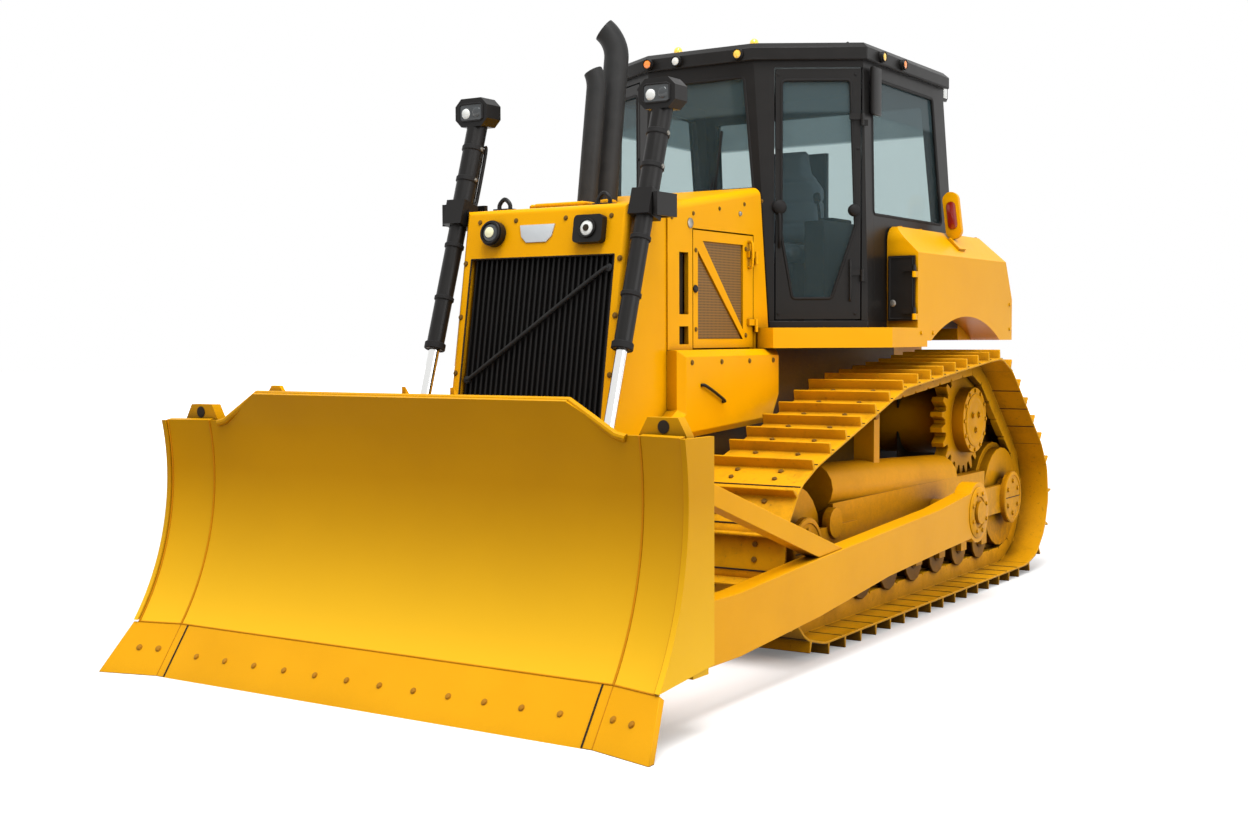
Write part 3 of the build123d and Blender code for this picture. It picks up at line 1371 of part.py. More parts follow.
with BuildPart() as lift_rod_left:
    with BuildSketch(barrel_plane.offset(lift_length - rod_length)) as rod:
        Circle(rod_radius)
    extrude(rod.sketch, amount=rod_length - lift_pin_radius - eye_clearance - 4)
    eye_xs = (cylinder_x - eye_half_width, cylinder_x + eye_half_width)
    x_cylinder(eye_radius, eye_xs, eye_y, eye_z)
    x_cylinder(lift_pin_radius + eye_clearance, (eye_xs[0] - 1, eye_xs[1] + 1), eye_y, eye_z,
               mode=Mode.SUBTRACT)

with BuildPart() as lift_rod_right:
    add(mirrored(lift_rod_left))

bracket_outer = cylinder_x + collar_half + bracket_reach
with BuildPart() as lift_yokes:
    x_cylinder(trunnion_pin, (nose_half_width + fit_gap, cylinder_x - collar_half + 20), yoke_y, yoke_z)
    x_cylinder(trunnion_pin, (cylinder_x + collar_half - 20, bracket_outer), yoke_y, yoke_z)
    span((bracket_outer - bracket_thickness, bracket_outer), (yoke_y - 40, yoke_y + 140),
         (yoke_z - bracket_height, yoke_z + bracket_height))
    span((nose_half_width + fit_gap, bracket_outer), (yoke_y + 115, yoke_y + 140),
         (yoke_z - bracket_height, yoke_z + bracket_height))
    add(mirrored(lift_yokes))

# ---------------------------------------------------------------- files
pieces = {
    "track_left": track_left, "track_right": track_right, "idlers": idlers, "track_rollers": track_rollers,
    "sprockets": sprockets, "final_drives": final_drives, "track_frame_left": track_frame_left,
    "track_frame_right": track_frame_right, "main_frame": main_frame, "engine_block": engine_block,
    "equalizer_bar": equalizer_bar, "radiator_guard": radiator_guard, "grille": grille, "hood": hood,
    "engine_door_left": engine_door_left, "engine_door_right": engine_door_right, "side_panels": side_panels,
    "stacks": stacks, "cab_frame": cab_frame, "cab_walls": cab_walls, "cab_floor": cab_floor,
          "cab_roof": cab_roof,
    "cab_door_left": cab_door_left, "cab_door_right": cab_door_right, "door_glass_left": door_glass_left,
    "door_glass_right": door_glass_right, "cab_glass": cab_glass, "operator_seat": operator_seat,
    "seat_cushions": seat_cushions, "control_console": control_console, "fender_left": fender_left,
    "fender_right": fender_right, "fuel_tank": fuel_tank, "access_cover_left": access_cover_left,
    "access_cover_right": access_cover_right, "drawbar": drawbar, "tail_lamps": tail_lamps,
    "roof_lamps": roof_lamps, "work_lamps": work_lamps, "blade": blade, "cutting_edge": cutting_edge,
          "end_bits": end_bits, "push_arms": push_arms, "arm_braces": arm_braces,
    "lift_barrel_left": lift_barrel_left, "lift_barrel_right": lift_barrel_right,
          "lift_rod_left": lift_rod_left,
    "lift_rod_right": lift_rod_right, "lift_yokes": lift_yokes,
}
for piece_name, builder in pieces.items():
    write(builder.part, piece_name)

box = Compound(children=[builder.part for builder in pieces.values()]).bounding_box()
print("shoes", shoe_count, "pitch", round(loop_length / shoe_count, 1))
print("box", box.min, box.max)
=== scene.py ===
"""Dresses the track-type tractor with its real finishes and its smaller fittings.

Everything is in metres in the CAD's own frame: +Z is up, -Y is the way it
drives, +X is its left side and the origin is on the ground under its middle.
"""
import json
import logging
import math
from dataclasses import dataclass, field
from enum import Enum
from functools import cache
from typing import Sequence

import bmesh
import bpy
from mathutils import Matrix, Vector

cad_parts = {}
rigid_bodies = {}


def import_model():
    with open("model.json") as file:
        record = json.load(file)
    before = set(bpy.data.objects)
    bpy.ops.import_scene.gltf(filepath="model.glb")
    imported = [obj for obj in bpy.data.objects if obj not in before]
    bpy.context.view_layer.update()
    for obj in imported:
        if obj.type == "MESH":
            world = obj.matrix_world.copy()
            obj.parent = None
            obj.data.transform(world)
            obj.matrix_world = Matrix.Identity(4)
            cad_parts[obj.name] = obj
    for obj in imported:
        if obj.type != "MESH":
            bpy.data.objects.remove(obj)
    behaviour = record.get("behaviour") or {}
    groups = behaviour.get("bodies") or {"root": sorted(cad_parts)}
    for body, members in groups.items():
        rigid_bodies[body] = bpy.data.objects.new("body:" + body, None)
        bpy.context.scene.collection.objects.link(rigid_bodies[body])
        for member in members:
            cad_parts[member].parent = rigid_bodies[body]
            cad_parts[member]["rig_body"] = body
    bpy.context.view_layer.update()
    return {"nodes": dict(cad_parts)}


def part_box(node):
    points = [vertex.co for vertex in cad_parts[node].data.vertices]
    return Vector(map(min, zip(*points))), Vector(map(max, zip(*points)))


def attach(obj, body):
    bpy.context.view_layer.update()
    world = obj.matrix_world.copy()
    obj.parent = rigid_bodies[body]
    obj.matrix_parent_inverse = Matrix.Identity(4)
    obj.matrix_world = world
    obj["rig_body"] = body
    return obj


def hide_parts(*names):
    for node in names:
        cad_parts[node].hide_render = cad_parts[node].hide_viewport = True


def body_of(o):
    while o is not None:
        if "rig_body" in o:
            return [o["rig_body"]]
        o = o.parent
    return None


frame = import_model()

logging.basicConfig(level=logging.INFO, format="%(message)s")
LOG = logging.getLogger("tractor")

Point = Sequence[float]
Profile = Sequence[tuple[float, float]]
Section = tuple[Vector, Vector, Vector]
Socket = bpy.types.NodeSocket
MM = 0.001
UP, AHEAD, ASTERN, OUTWARD = (0, 0, 1), (0, -1, 0), (0, 1, 0), (1, 0, 0)
# Axes of a plate whose outline is given as (y, z) and whose outward side faces +X
SIDEWAYS = Matrix(((0, 0, 1), (1, 0, 0), (0, 1, 0))).to_4x4()


# ---------------------------------------------------------------- shading
def to_linear(code: str) -> tuple[float, ...]:
    """Turn an sRGB hex colour into linear RGBA.

    Args:
        code: six hex digits.
    Returns:
        The linear colour with alpha 1.
    """
    parts = [int(code[index:index + 2], 16) / 255 for index in (0, 2, 4)]
    return *[c / 12.92 if c <= 0.04045 else ((c + 0.055) / 1.055) ** 2.4 for c in parts], 1.0


class Nodes:
    """Adds shader nodes to one tree, with short calls for the kinds used most."""

    def __init__(self, owner: bpy.types.Material | bpy.types.World) -> None:
        """Take over the owner's node tree and empty it.

        Args:
            owner: the material or world.
        """
        owner.use_nodes = True
        self.tree = owner.node_tree
        self.tree.nodes.clear()
        self.place = self.add("TexCoord", {}, "Object")

    def add(self, kind: str, inputs: dict, output: str | int = 0, **settings: object) -> Socket | None:
        """Add a node with its settings, values and links.

        Args:
            kind: node type without its ShaderNode prefix.
            inputs: socket name or number, with a value, a hex colour or the output that feeds it.
            output: which output is wanted.
            **settings: attributes of the node itself.
        Returns:
            That output, or None for a node without any.
        """
        node = self.tree.nodes.new("ShaderNode" + kind)
        for key, value in settings.items():
            setattr(node, key, value)
        for socket, value in inputs.items():
            if isinstance(value, Socket):
                self.tree.links.new(value, node.inputs[socket])
            else:
                node.inputs[socket].default_value = to_linear(value) if isinstance(value, str) else value
        return node.outputs[output] if node.outputs else None

    def noise(self, size_mm: float, detail: float, roughness: float = 0.5) -> Socket:
        """Return a cloudy pattern with cells of about a size in millimetres."""
        return self.add("TexNoise", {"Vector": self.place, "Scale": 1 / (size_mm * MM), "Detail": detail,
                                     "Roughness": roughness})

    def waves(self, size_mm: float, axis: str) -> Socket:
        """Return bands across an axis, about a size in millimetres apart."""
        return self.add("TexWave", {"Vector": self.place, "Scale": 1 / (size_mm * MM) / 6.3}, "Fac",
                        bands_direction=axis)

    def height(self) -> Socket:
        """Return the height above the ground."""
        return self.add("SeparateXYZ", {"Vector": self.place}, "Z")

    def remap(self, value: Socket, start: float, end: float, low: float = 0.0, high: float = 1.0) -> Socket:
        """Return a value whose range from start to end is turned into low to high."""
        return self.add("MapRange", {"Value": value, "From Min": start, "From Max": end, "To Min": low,
                                     "To Max": high})

    def spread(self, value: Socket, low: float, high: float) -> Socket:
        """Return a value between 0 and 1 turned into low to high."""
        return self.remap(value, 0.0, 1.0, low, high)

    def blend(self, share: Socket, first: Socket | str, second: Socket | str) -> Socket:
        """Return a blend of two colours."""
        return self.add("MixRGB", {"Fac": share, "Color1": first, "Color2": second})

    def combine(self, operation: str, first: Socket, second: Socket | float) -> Socket:
        """Return the result of a calculation with two values."""
        return self.add("Math", {0: first, 1: second}, operation=operation)

    def bump(self, height: Socket, strength: float, depth_mm: float) -> Socket:
        """Return a normal disturbed by a height pattern."""
        return self.add("Bump", {"Height": height, "Strength": strength, "Distance": depth_mm * MM})

    def recess(self, colour: Socket, painted_shade: str, reach: float) -> Socket:
        """Paint shade: blend a colour into a dark colour where other surfaces stand close.

        Args:
            colour: the colour before the painted shade.
            painted_shade: hex colour of the painted shade in the recesses.
            reach: how near a surface counts as close.
        Returns:
            The blended colour.
        """
        near = self.add("AmbientOcclusion", {"Distance": reach}, "AO", samples=6)
        return self.blend(self.remap(near, 0.25, 0.80, 0.92, 0.0), colour, painted_shade)

    def white_rays(self) -> Socket:
        """Find the rays that should meet plain white: seen, mirrored or through glass.

        Returns:
            1 for such a ray, 0 for others.
        """
        seen = self.add("LightPath", {}, "Is Camera Ray")
        mirrored = self.combine("MAXIMUM", seen, seen.node.outputs["Is Glossy Ray"])
        return self.combine("MAXIMUM", mirrored, seen.node.outputs["Is Transmission Ray"])


class Surface(Enum):
    """How a painted part was made, with the size in millimetres and depth of its texture."""

    SHEET = (9.0, 0.05)
    PLATE = (16.0, 0.10)
    CASTING = (4.5, 0.30)


@dataclass(frozen=True)
class Finish:
    """A named finish that knows how to build its material, with its slot in the record."""

    name: str
    colour: str
    slot: str = field(default="yellow_enamel", kw_only=True)

    def shader(self, nodes: Nodes) -> Socket:
        """Add the nodes and return the last shader. Each finish has its own."""
        raise NotImplementedError

    @cache
    def material(self) -> bpy.types.Material:
        """Build the material once. It can't be looked up by name, as the CAD's own may have the same.

        Returns:
            The material with its shader linked to the output.
        """
        made = bpy.data.materials.new(self.name)
        nodes = Nodes(made)
        nodes.add("OutputMaterial", {"Surface": self.shader(nodes)})
        return made


@dataclass(frozen=True)
class PolyurethaneEnamel(Finish):
    """Two-pack enamel sprayed on steel: an even colour, a soft gloss and slight orange peel."""

    shade: str
    roughness: float
    surface: Surface
    dust_height: float = 0.0
    # Colour of the painted shade in recesses, and how near another surface must stand for it
    painted_shade: str = "4A2C08"
    painted_shade_reach: float = 0.22
    # Painted light: a lighter colour towards the ground, and the height where it has faded out
    painted_light: str = ""
    painted_light_to: float = 0.0

    def shader(self, nodes: Nodes) -> Socket:
        """Add broad tone changes, dust, painted light low down, painted shade in recesses and orange peel.

        Args:
            nodes: takes the nodes.
        Returns:
            The shader.
        """
        colour = nodes.blend(nodes.remap(nodes.noise(420, 3.0), 0.35, 0.7, high=0.45), self.colour, self.shade)
        speck = nodes.noise(38, 5.0, 0.65)
        if self.dust_height > 0:
            # Dried earth, thicker towards the ground and broken up in patches
            low = nodes.remap(nodes.height(), 0.0, self.dust_height, 0.55, 0.0)
            amount = nodes.combine("MULTIPLY", low, nodes.remap(speck, 0.38, 0.62))
            colour = nodes.blend(amount, colour, "8A6A34")
        if self.painted_light:
            # Painted light: a lighter colour towards the ground, fading out at a set height
            colour = nodes.blend(nodes.remap(nodes.height(), 0.15, self.painted_light_to, 1.0, 0.0), colour, self.painted_light)
        size, depth = self.surface.value
        # Painted shade darkens the base colour where other surfaces stand close
        return nodes.add("BsdfPrincipled", {
            "Base Color": nodes.recess(colour, self.painted_shade, self.painted_shade_reach),
            "Roughness": nodes.spread(speck, self.roughness - 0.06, self.roughness + 0.08),
            "Normal": nodes.bump(nodes.noise(size, 2.0), depth, 0.6), "IOR": 1.5, "Specular IOR Level": 0.08,
            "Coat Weight": 0.02, "Coat Roughness": 0.12})


@dataclass(frozen=True)
class TrackSteel(Finish):
    """Forged and rolled steel, sprayed over, stained brown, worn bare in small spots, and darkened by painted
    shade in recesses.
    """

    crevice: str
    bare: str

    def shader(self, nodes: Nodes) -> Socket:
        """Add the nodes.

        Args:
            nodes: takes the nodes.
        Returns:
            The shader.
        """
        stain, spot = nodes.noise(160, 6.0, 0.7), nodes.noise(24, 4.0)
        colour = nodes.blend(nodes.remap(stain, 0.50, 0.74, high=0.42), self.colour, self.crevice)
        colour = nodes.blend(nodes.remap(spot, 0.62, 0.74, high=0.35), colour, self.bare)
        # Painted shade: darker brown where other surfaces stand close
        return nodes.add("BsdfPrincipled", {
            "Base Color": nodes.recess(colour, "3A2008", 0.20), "Roughness": nodes.spread(stain, 0.38, 0.66),
            "Normal": nodes.bump(spot, 0.35, 1.5), "IOR": 1.5, "Specular IOR Level": 0.14})


@dataclass(frozen=True)
class PlainCoat(Finish):
    """Moulded plastic, rubber or thin paint: one colour, slightly flecked, with a fine grain."""

    fleck: str
    roughness: float
    grain_mm: float
    grain_depth: float
    metallic: float = 0.0
    specular: float = 0.22
    slot: str = field(default="black_enamel", kw_only=True)

    def shader(self, nodes: Nodes) -> Socket:
        """Add the nodes.

        Args:
            nodes: takes the nodes.
        Returns:
            The shader.
        """
        broad = nodes.noise(90, 3.0)
        return nodes.add("BsdfPrincipled", {
            "Base Color": nodes.blend(broad, self.colour, self.fleck), "Metallic": self.metallic,
            "Roughness": nodes.spread(broad, self.roughness - 0.05, self.roughness + 0.07),
            "Normal": nodes.bump(nodes.noise(self.grain_mm, 3.0), self.grain_depth, 0.5),
            "Specular IOR Level": self.specular})


@dataclass(frozen=True)
class HardChrome(Finish):
    """Ground and chromed steel: bright, with faint rings from the grinding."""

    roughness: float = 0.12

    def shader(self, nodes: Nodes) -> Socket:
        """Add the nodes."""
        rough = nodes.spread(nodes.noise(6, 2.0), self.roughness, self.roughness + 0.1)
        return nodes.add("BsdfPrincipled", {"Base Color": self.colour, "Metallic": 1.0, "Roughness": rough})


@dataclass(frozen=True)
class TintedGlass(Finish):
    """Laminated cab glass: a clear tinted layer with a shade band on top, under a mirror-like skin."""

    band: str = "C4CFD1"
    band_from: float = 2.800
    clear: float = 0.885
    band_clear: float = 0.62
    roughness: float = 0.04

    def shader(self, nodes: Nodes) -> Socket:
        """Add the nodes.

        Args:
            nodes: takes the nodes.
        Returns:
            The shader.
        """
        shade = nodes.remap(nodes.height(), self.band_from, self.band_from + 0.02)
        through = nodes.add("BsdfTransparent", {"Color": nodes.blend(shade, self.colour, self.band)})
        rough = nodes.spread(nodes.noise(220, 2.0), self.roughness, self.roughness + 0.05)
        skin = nodes.add("BsdfPrincipled", {"Base Color": "5E7378", "Roughness": rough, "IOR": 1.5})
        return nodes.add("MixShader", {0: nodes.spread(shade, self.clear, self.band_clear), 1: skin, 2: through})


@dataclass(frozen=True)
class WovenFabric(Finish):
    """Flat-woven polyester seat cloth: two thread directions and a soft sheen."""

    thread: str
    # Real threads of about 0.8 mm are drawn at 4 mm, so that they show.
    thread_mm: float = 4.0

    def shader(self, nodes: Nodes) -> Socket:
        """Add the nodes.

        Args:
            nodes: takes the nodes.
        Returns:
            The shader.
        """
        weave = nodes.combine("MAXIMUM", *[nodes.waves(self.thread_mm, axis) for axis in "XZ"])
        return nodes.add("BsdfPrincipled", {
            "Base Color": nodes.blend(weave, self.colour, self.thread), "Roughness": 0.85,
            "Normal": nodes.bump(weave, 0.4, 1.0), "Sheen Weight": 0.3})


@dataclass(frozen=True)
class PerforatedSheet(Finish):
    """Punched steel screen: painted sheet with a grid of round holes that look dark."""

    hole: str
    # Real holes of 5 mm at 8 mm are drawn at 14 mm, so that they show.
    pitch_mm: float = 14.0

    def shader(self, nodes: Nodes) -> Socket:
        """Add the nodes.

        Args:
            nodes: takes the nodes.
        Returns:
            The shader.
        """
        cells = nodes.add("TexVoronoi", {"Vector": nodes.place, "Scale": 1 / (self.pitch_mm * MM),
                                         "Randomness": 0.0}, "Distance", feature="F1")
        colour = nodes.blend(nodes.remap(cells, 0.30, 0.36), self.hole, self.colour)
        return nodes.add("BsdfPrincipled", {"Base Color": colour, "Roughness": 0.5})


@dataclass(frozen=True)
class LampLens(Finish):
    """Moulded polycarbonate lens, fluted and glossy, over a silvered reflector."""

    glow: float
    slot: str = field(default="lamp_glass", kw_only=True)

    def shader(self, nodes: Nodes) -> Socket:
        """Add the nodes.

        Args:
            nodes: takes the nodes.
        Returns:
            The shader.
        """
        return nodes.add("BsdfPrincipled", {
            "Base Color": self.colour, "Roughness": 0.08, "Normal": nodes.bump(nodes.waves(18, "X"), 0.5, 1.0),
            "Coat Weight": 1.0, "Coat Roughness": 0.03, "Emission Color": self.colour,
            "Emission Strength": self.glow})


SHEET, PLATE, CASTING = Surface
FINISHES: dict[str, Finish] = {
    "sheet_yellow": PolyurethaneEnamel("yellow_enamel_on_sheet", "F8B000", "EEA200", 0.34, SHEET),
    "plate_yellow": PolyurethaneEnamel("yellow_enamel_on_plate", "F4AA00", "E29A02", 0.38, PLATE),
    # Painted shade and light: the moldboard's colour is darker than the other yellow paints, and painted light
    # lightens it towards the ground
    "blade_yellow": PolyurethaneEnamel("yellow_enamel_on_moldboard", "D69802", "C88C02", 0.42, PLATE,
                                       painted_light="FFC624", painted_light_to=0.95),
    # Painted shade: the frame's colour is darkened, and its painted shade in recesses reaches far, for the shade
    # under the deck
    "frame_yellow": PolyurethaneEnamel("yellow_enamel_on_frame", "BC800C", "8E5C08", 0.5, CASTING,
                                       painted_shade="160D02", painted_shade_reach=1.0),
    "arm_yellow": PolyurethaneEnamel("yellow_enamel_on_arms", "F0A804", "DE9802", 0.4, PLATE, painted_shade_reach=0.12),
    "cast_yellow": PolyurethaneEnamel("yellow_enamel_on_castings", "EEA402", "C68806", 0.45, CASTING, 0.9,
                                      painted_shade="2C1804", painted_shade_reach=0.45),
    # Painted shade: the rollers' colour is darker than the other castings', with near-black painted shade, for the
    # shade under the track frame
    "roller_yellow": PolyurethaneEnamel("yellow_enamel_on_rollers", "B07808", "5E3E0A", 0.5, CASTING, 0.9,
                                        painted_shade="0E0802", painted_shade_reach=0.7),
    "edge_yellow": PolyurethaneEnamel("yellow_enamel_on_cutting_edge", "F2AC10", "E29E08", 0.4, PLATE,
                                      slot="wear_steel"),
    "weld_yellow": PolyurethaneEnamel("yellow_enamel_on_weld", "D98E04", "B87406", 0.45, CASTING),
    "track_yellow": TrackSteel("painted_track_steel", "E6A408", "8A5E0C", "4A3A24"),
    "screen": PerforatedSheet("punched_screen", "8A6018", "44300E"),
    "steel_dark": PlainCoat("worn_bolt_steel", "8A6420", "5E4418", 0.5, 4.0, 0.2, 0.2, slot="yellow_enamel"),
    "bolt_yellow": PlainCoat("painted_bolt", "C88A12", "9A640C", 0.5, 4.0, 0.2, slot="wear_steel"),
    "black": PlainCoat("black_enamel", "151413", "1C1A19", 0.38, 6.0, 0.08),
    "pipe_black": PlainCoat("heat_proof_black", "191919", "303030", 0.5, 5.0, 0.2),
    "grille_black": PlainCoat("grille_black", "0D0C0B", "131110", 0.5, 3.0, 0.1),
    # Dark joints, and also the dark plates put in as painted shade in the running gear
    "seam_and_shade_dark": PlainCoat("sealed_joint", "221A10", "2E2416", 0.7, 4.0, 0.1),
    "engine_grey": PlainCoat("engine_enamel", "5A3C0C", "3A2808", 0.5, 8.0, 0.3, slot="engine_paint"),
    "chrome": HardChrome("hard_chrome", "E8E8E6", slot="chrome_rod"),
    "silver": PlainCoat("brushed_aluminium", "C4CACE", "D6DADC", 0.42, 3.0, 0.12, 0.35, slot="chrome_rod"),
    "steel": PlainCoat("zinc_plated_steel", "8C8A84", "A09C94", 0.35, 4.0, 0.1, 0.9, slot="chrome_rod"),
    "glass": TintedGlass("tinted_cab_glass", "F2F8F8", slot="cab_glass"),
    "fabric": WovenFabric("woven_seat_cloth", "6A737D", "7C858E", slot="seat_fabric"),
    "console": PlainCoat("moulded_abs", "2E3134", "383B3E", 0.55, 2.0, 0.25, slot="console_plastic"),
    "rubber": PlainCoat("black_rubber", "171616", "1D1C1C", 0.65, 2.5, 0.2, slot="console_plastic"),
    "screen_grey": PlainCoat("display_glass", "2C3A40", "34444A", 0.15, 12.0, 0.02, slot="console_plastic"),
    "smoked_lens": PlainCoat("smoked_lens", "3A3E40", "44484A", 0.12, 8.0, 0.05, specular=0.6, slot="lamp_glass"),
    "lens": LampLens("clear_lens", "E4E6E2", 0.12),
    "pale_lens": LampLens("pale_lens", "F0ECC0", 0.15),
    "warm_lens": LampLens("warm_lens", "FFC93C", 0.25),
    "amber_lens": LampLens("amber_lens", "FF8A10", 0.2),
    "red_lens": LampLens("red_lens", "8E1A08", 0.05)}


# ---------------------------------------------------------------- meshes
class Side(Enum):
    """A side of the tractor, with the sign of its X."""

    LEFT = 1.0
    RIGHT = -1.0

    def named(self, stem: str) -> str:
        """Return a name that ends in the side's own."""
        return f"{stem}_{self.name.lower()}"


class Bolt(Enum):
    """Hexagonal heads by where they sit, with half their width and their height."""

    EDGE = (0.0115, 0.006)
    BIT = (0.0125, 0.006)
    RIB = (0.016, 0.010)
    PANEL = (0.011, 0.007)
    SHEET = (0.010, 0.006)
    TRIM = (0.009, 0.006)
    DOOR = (0.008, 0.005)
    HUB = (0.012, 0.0084)
    CAP = (0.014, 0.0098)
    HUB_PLUG = (0.015, 0.0105)
    ROLLER = (0.013, 0.006)
    HULL = (0.012, 0.008)


def frame_axes(normal: Point) -> Matrix:
    """Return a rotation whose Z is a normal and whose Y is as near up as it can be.

    Args:
        normal: direction that Z takes.
    Returns:
        A 4x4 rotation matrix.
    """
    z_axis = Vector(normal).normalized()
    y_axis = Vector(UP) - z_axis * Vector(UP).dot(z_axis)
    y_axis = y_axis.normalized() if y_axis.length > 1e-6 else z_axis.orthogonal().normalized()
    return Matrix((y_axis.cross(z_axis), y_axis, z_axis)).transposed().to_4x4()


def smooth_path(points: list[Vector], steps: int) -> list[Vector]:
    """Return a Catmull-Rom path through the points.

    Args:
        points: places on the path.
        steps: steps between two places.
    Returns:
        The path's points.
    """
    if len(points) < 3 or steps < 2:
        return points
    padded = [points[0] * 2 - points[1]] + points + [points[-1] * 2 - points[-2]]
    path = []
    for a, b, c, d in zip(padded, padded[1:], padded[2:], padded[3:]):
        for t in (step / steps for step in range(steps)):
            path.append(0.5 * ((2 * b) + (c - a) * t + (2 * a - 5 * b + 4 * c - d) * t * t
                               + (3 * b - a - 3 * c + d) * t ** 3))
    return path + [points[-1]]


def put_on(piece: bpy.types.Object, finish: str, node: str) -> None:
    """Give a piece its finish, and let it ride with a CAD node.

    Args:
        piece: the piece.
        finish: name of the finish.
        node: the CAD node whose body carries it.
    """
    body = body_of(bpy.data.objects[node])[0]
    piece.data.polygons.foreach_set("use_smooth", [True] * len(piece.data.polygons))
    piece.data.materials.append(FINISHES[finish].material())
    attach(piece, body)
    LOG.info("%s: %d faces on %s", piece.name, len(piece.data.polygons), body)


@dataclass
class Piece:
    """A mesh under construction. Places are given for the left side; a right-hand piece mirrors them."""

    name: str
    finish: str
    node: str = "main_frame"
    side: float = 1.0
    mesh: bmesh.types.BMesh = field(default_factory=bmesh.new)

    def at(self, place: Point) -> Vector:
        """Return a place or a direction on the piece's own side."""
        return Vector((place[0] * self.side, place[1], place[2]))

    def ring(self, turn: Matrix, radius: float, along: float, steps: int) -> list[bmesh.types.BMVert]:
        """Add a ring of points round a turning axis, or its middle alone if it has no radius.

        Args:
            turn: where the axis stands.
            radius: the ring's radius.
            along: distance along the axis.
            steps: how many points.
        Returns:
            The new points.
        """
        angles = [2 * math.pi * i / steps for i in range(steps)] if radius > 0 else [0.0]
        return [self.mesh.verts.new(turn @ Vector((radius * math.cos(a), radius * math.sin(a), along)))
                for a in angles]

    def skin(self, rings: list[list[bmesh.types.BMVert]], endless: bool = False) -> None:
        """Join rings of points with faces, and close both ends unless the rings go round.

        Args:
            rings: the rings in order; the last one may be a single point.
            endless: whether the last ring joins the first.
        """
        for lower, upper in zip(rings, rings[1:] + rings[:1] if endless else rings[1:]):
            for i in range(len(lower)):
                j = (i + 1) % len(lower)
                ends = (upper[j], upper[i]) if len(upper) > 1 else (upper[0],)
                self.mesh.faces.new((lower[i], lower[j], *ends))
        if not endless:
            self.mesh.faces.new(rings[0][::-1])
            if len(rings[-1]) > 1:
                self.mesh.faces.new(rings[-1])

    def box(self, centre: Point, size: Point, bevel: float = 0.004, turn: Matrix | None = None) -> None:
        """Add a box with rounded edges.

        Args:
            centre: its middle.
            size: its lengths along its own axes.
            bevel: radius of its edges.
            turn: rotation of its axes.
        """
        made = bmesh.ops.create_cube(self.mesh, size=1.0)["verts"]
        bmesh.ops.scale(self.mesh, vec=size, verts=made)
        edges = {edge for vert in made for edge in vert.link_edges}
        made = bmesh.ops.bevel(self.mesh, geom=list(edges), offset=min(bevel, 0.45 * min(size)), segments=3,
                               affect="EDGES", profile=0.5)["verts"]
        island, todo = set(made), list(made)
        while todo:
            for vert in {end for edge in todo.pop().link_edges for end in edge.verts} - island:
                island.add(vert)
                todo.append(vert)
        place = Matrix.Translation(self.at(centre)) @ (turn or Matrix())
        bmesh.ops.transform(self.mesh, matrix=place, verts=list(island))

    def lathe(self, origin: Point, axis: Point, profile: Profile, steps: int = 32) -> None:
        """Add a turned part.

        Args:
            origin: foot of the turning axis.
            axis: direction of the turning axis.
            profile: (radius, distance along the axis) from one end to the other.
            steps: sides of the turned form.
        """
        turn = Matrix.Translation(self.at(origin)) @ frame_axes(self.at(axis))
        self.skin([self.ring(turn, radius, along, steps) for radius, along in profile])

    def collar(self, origin: Point, axis: Point, inner: float, outer: float, half: float) -> None:
        """Add a hollow ring round an axis.

        Args:
            origin: middle of the ring.
            axis: direction of its axis.
            inner: radius of its hole.
            outer: its outer radius.
            half: half of its width.
        """
        turn = Matrix.Translation(self.at(origin)) @ frame_axes(self.at(axis))
        soft = min(0.004, half * 0.4)
        section = ((inner, -half), (outer - soft, -half), (outer, soft - half), (outer, half - soft),
                   (outer - soft, half), (inner, half))
        self.skin([self.ring(turn, radius, along, 28) for radius, along in section], True)

    def bolt(self, place: Point, normal: Point, bolt: Bolt) -> None:
        """Add a hexagonal bolt head on its washer.

        Args:
            place: point on the surface.
            normal: direction out of the surface.
            bolt: the kind of head.
        """
        radius, height = bolt.value
        self.lathe(place, normal, ((radius * 1.25, -0.001), (radius * 1.25, height * 0.22)), 16)
        self.lathe(place, normal, ((radius, height * 0.2), (radius, height * 0.9), (radius * 0.86, height)), 6)

    def bolt_circle(self, centre: Point, normal: Point, radius: float, count: int, bolt: Bolt,
                    start: float = 0.0) -> None:
        """Add a circle of bolts that face sideways or to the rear.

        Args:
            centre: middle of the circle.
            normal: the way they face.
            radius: the circle's radius.
            count: how many bolts.
            bolt: the kind of head.
            start: angle of the first one, in degrees.
        """
        x, y, z = centre
        for index in range(count):
            angle = math.radians(start + 360 * index / count)
            flat, high = radius * math.cos(angle), z + radius * math.sin(angle)
            self.bolt((x, y + flat, high) if normal[0] else (x + flat, y, high), normal, bolt)

    def plate(self, outline: Sequence[Point], origin: Point, axes: Matrix, thickness: float,
              bevel: float = 0.003) -> None:
        """Add a flat plate of any outline.

        Args:
            outline: (x, y) corners in the plate's own plane.
            origin: where that plane's origin is.
            axes: rotation of the plane, whose Z is the plate's outward side.
            thickness: depth below the outward side.
            bevel: radius of the edges of its outward side.
        """
        turn = Matrix.Translation(self.at(origin)) @ axes
        top, low = ([self.mesh.verts.new(turn @ Vector((x, y, depth))) for x, y in outline]
                    for depth in (0, -thickness))
        face = self.mesh.faces.new(top)
        self.mesh.faces.new(low[::-1])
        for i, j in zip(range(len(top)), [*range(1, len(top)), 0]):
            self.mesh.faces.new((top[i], low[i], low[j], top[j]))
        if bevel > 0:
            bmesh.ops.bevel(self.mesh, geom=list(face.edges), offset=bevel, segments=2, affect="EDGES",
                            profile=0.5)

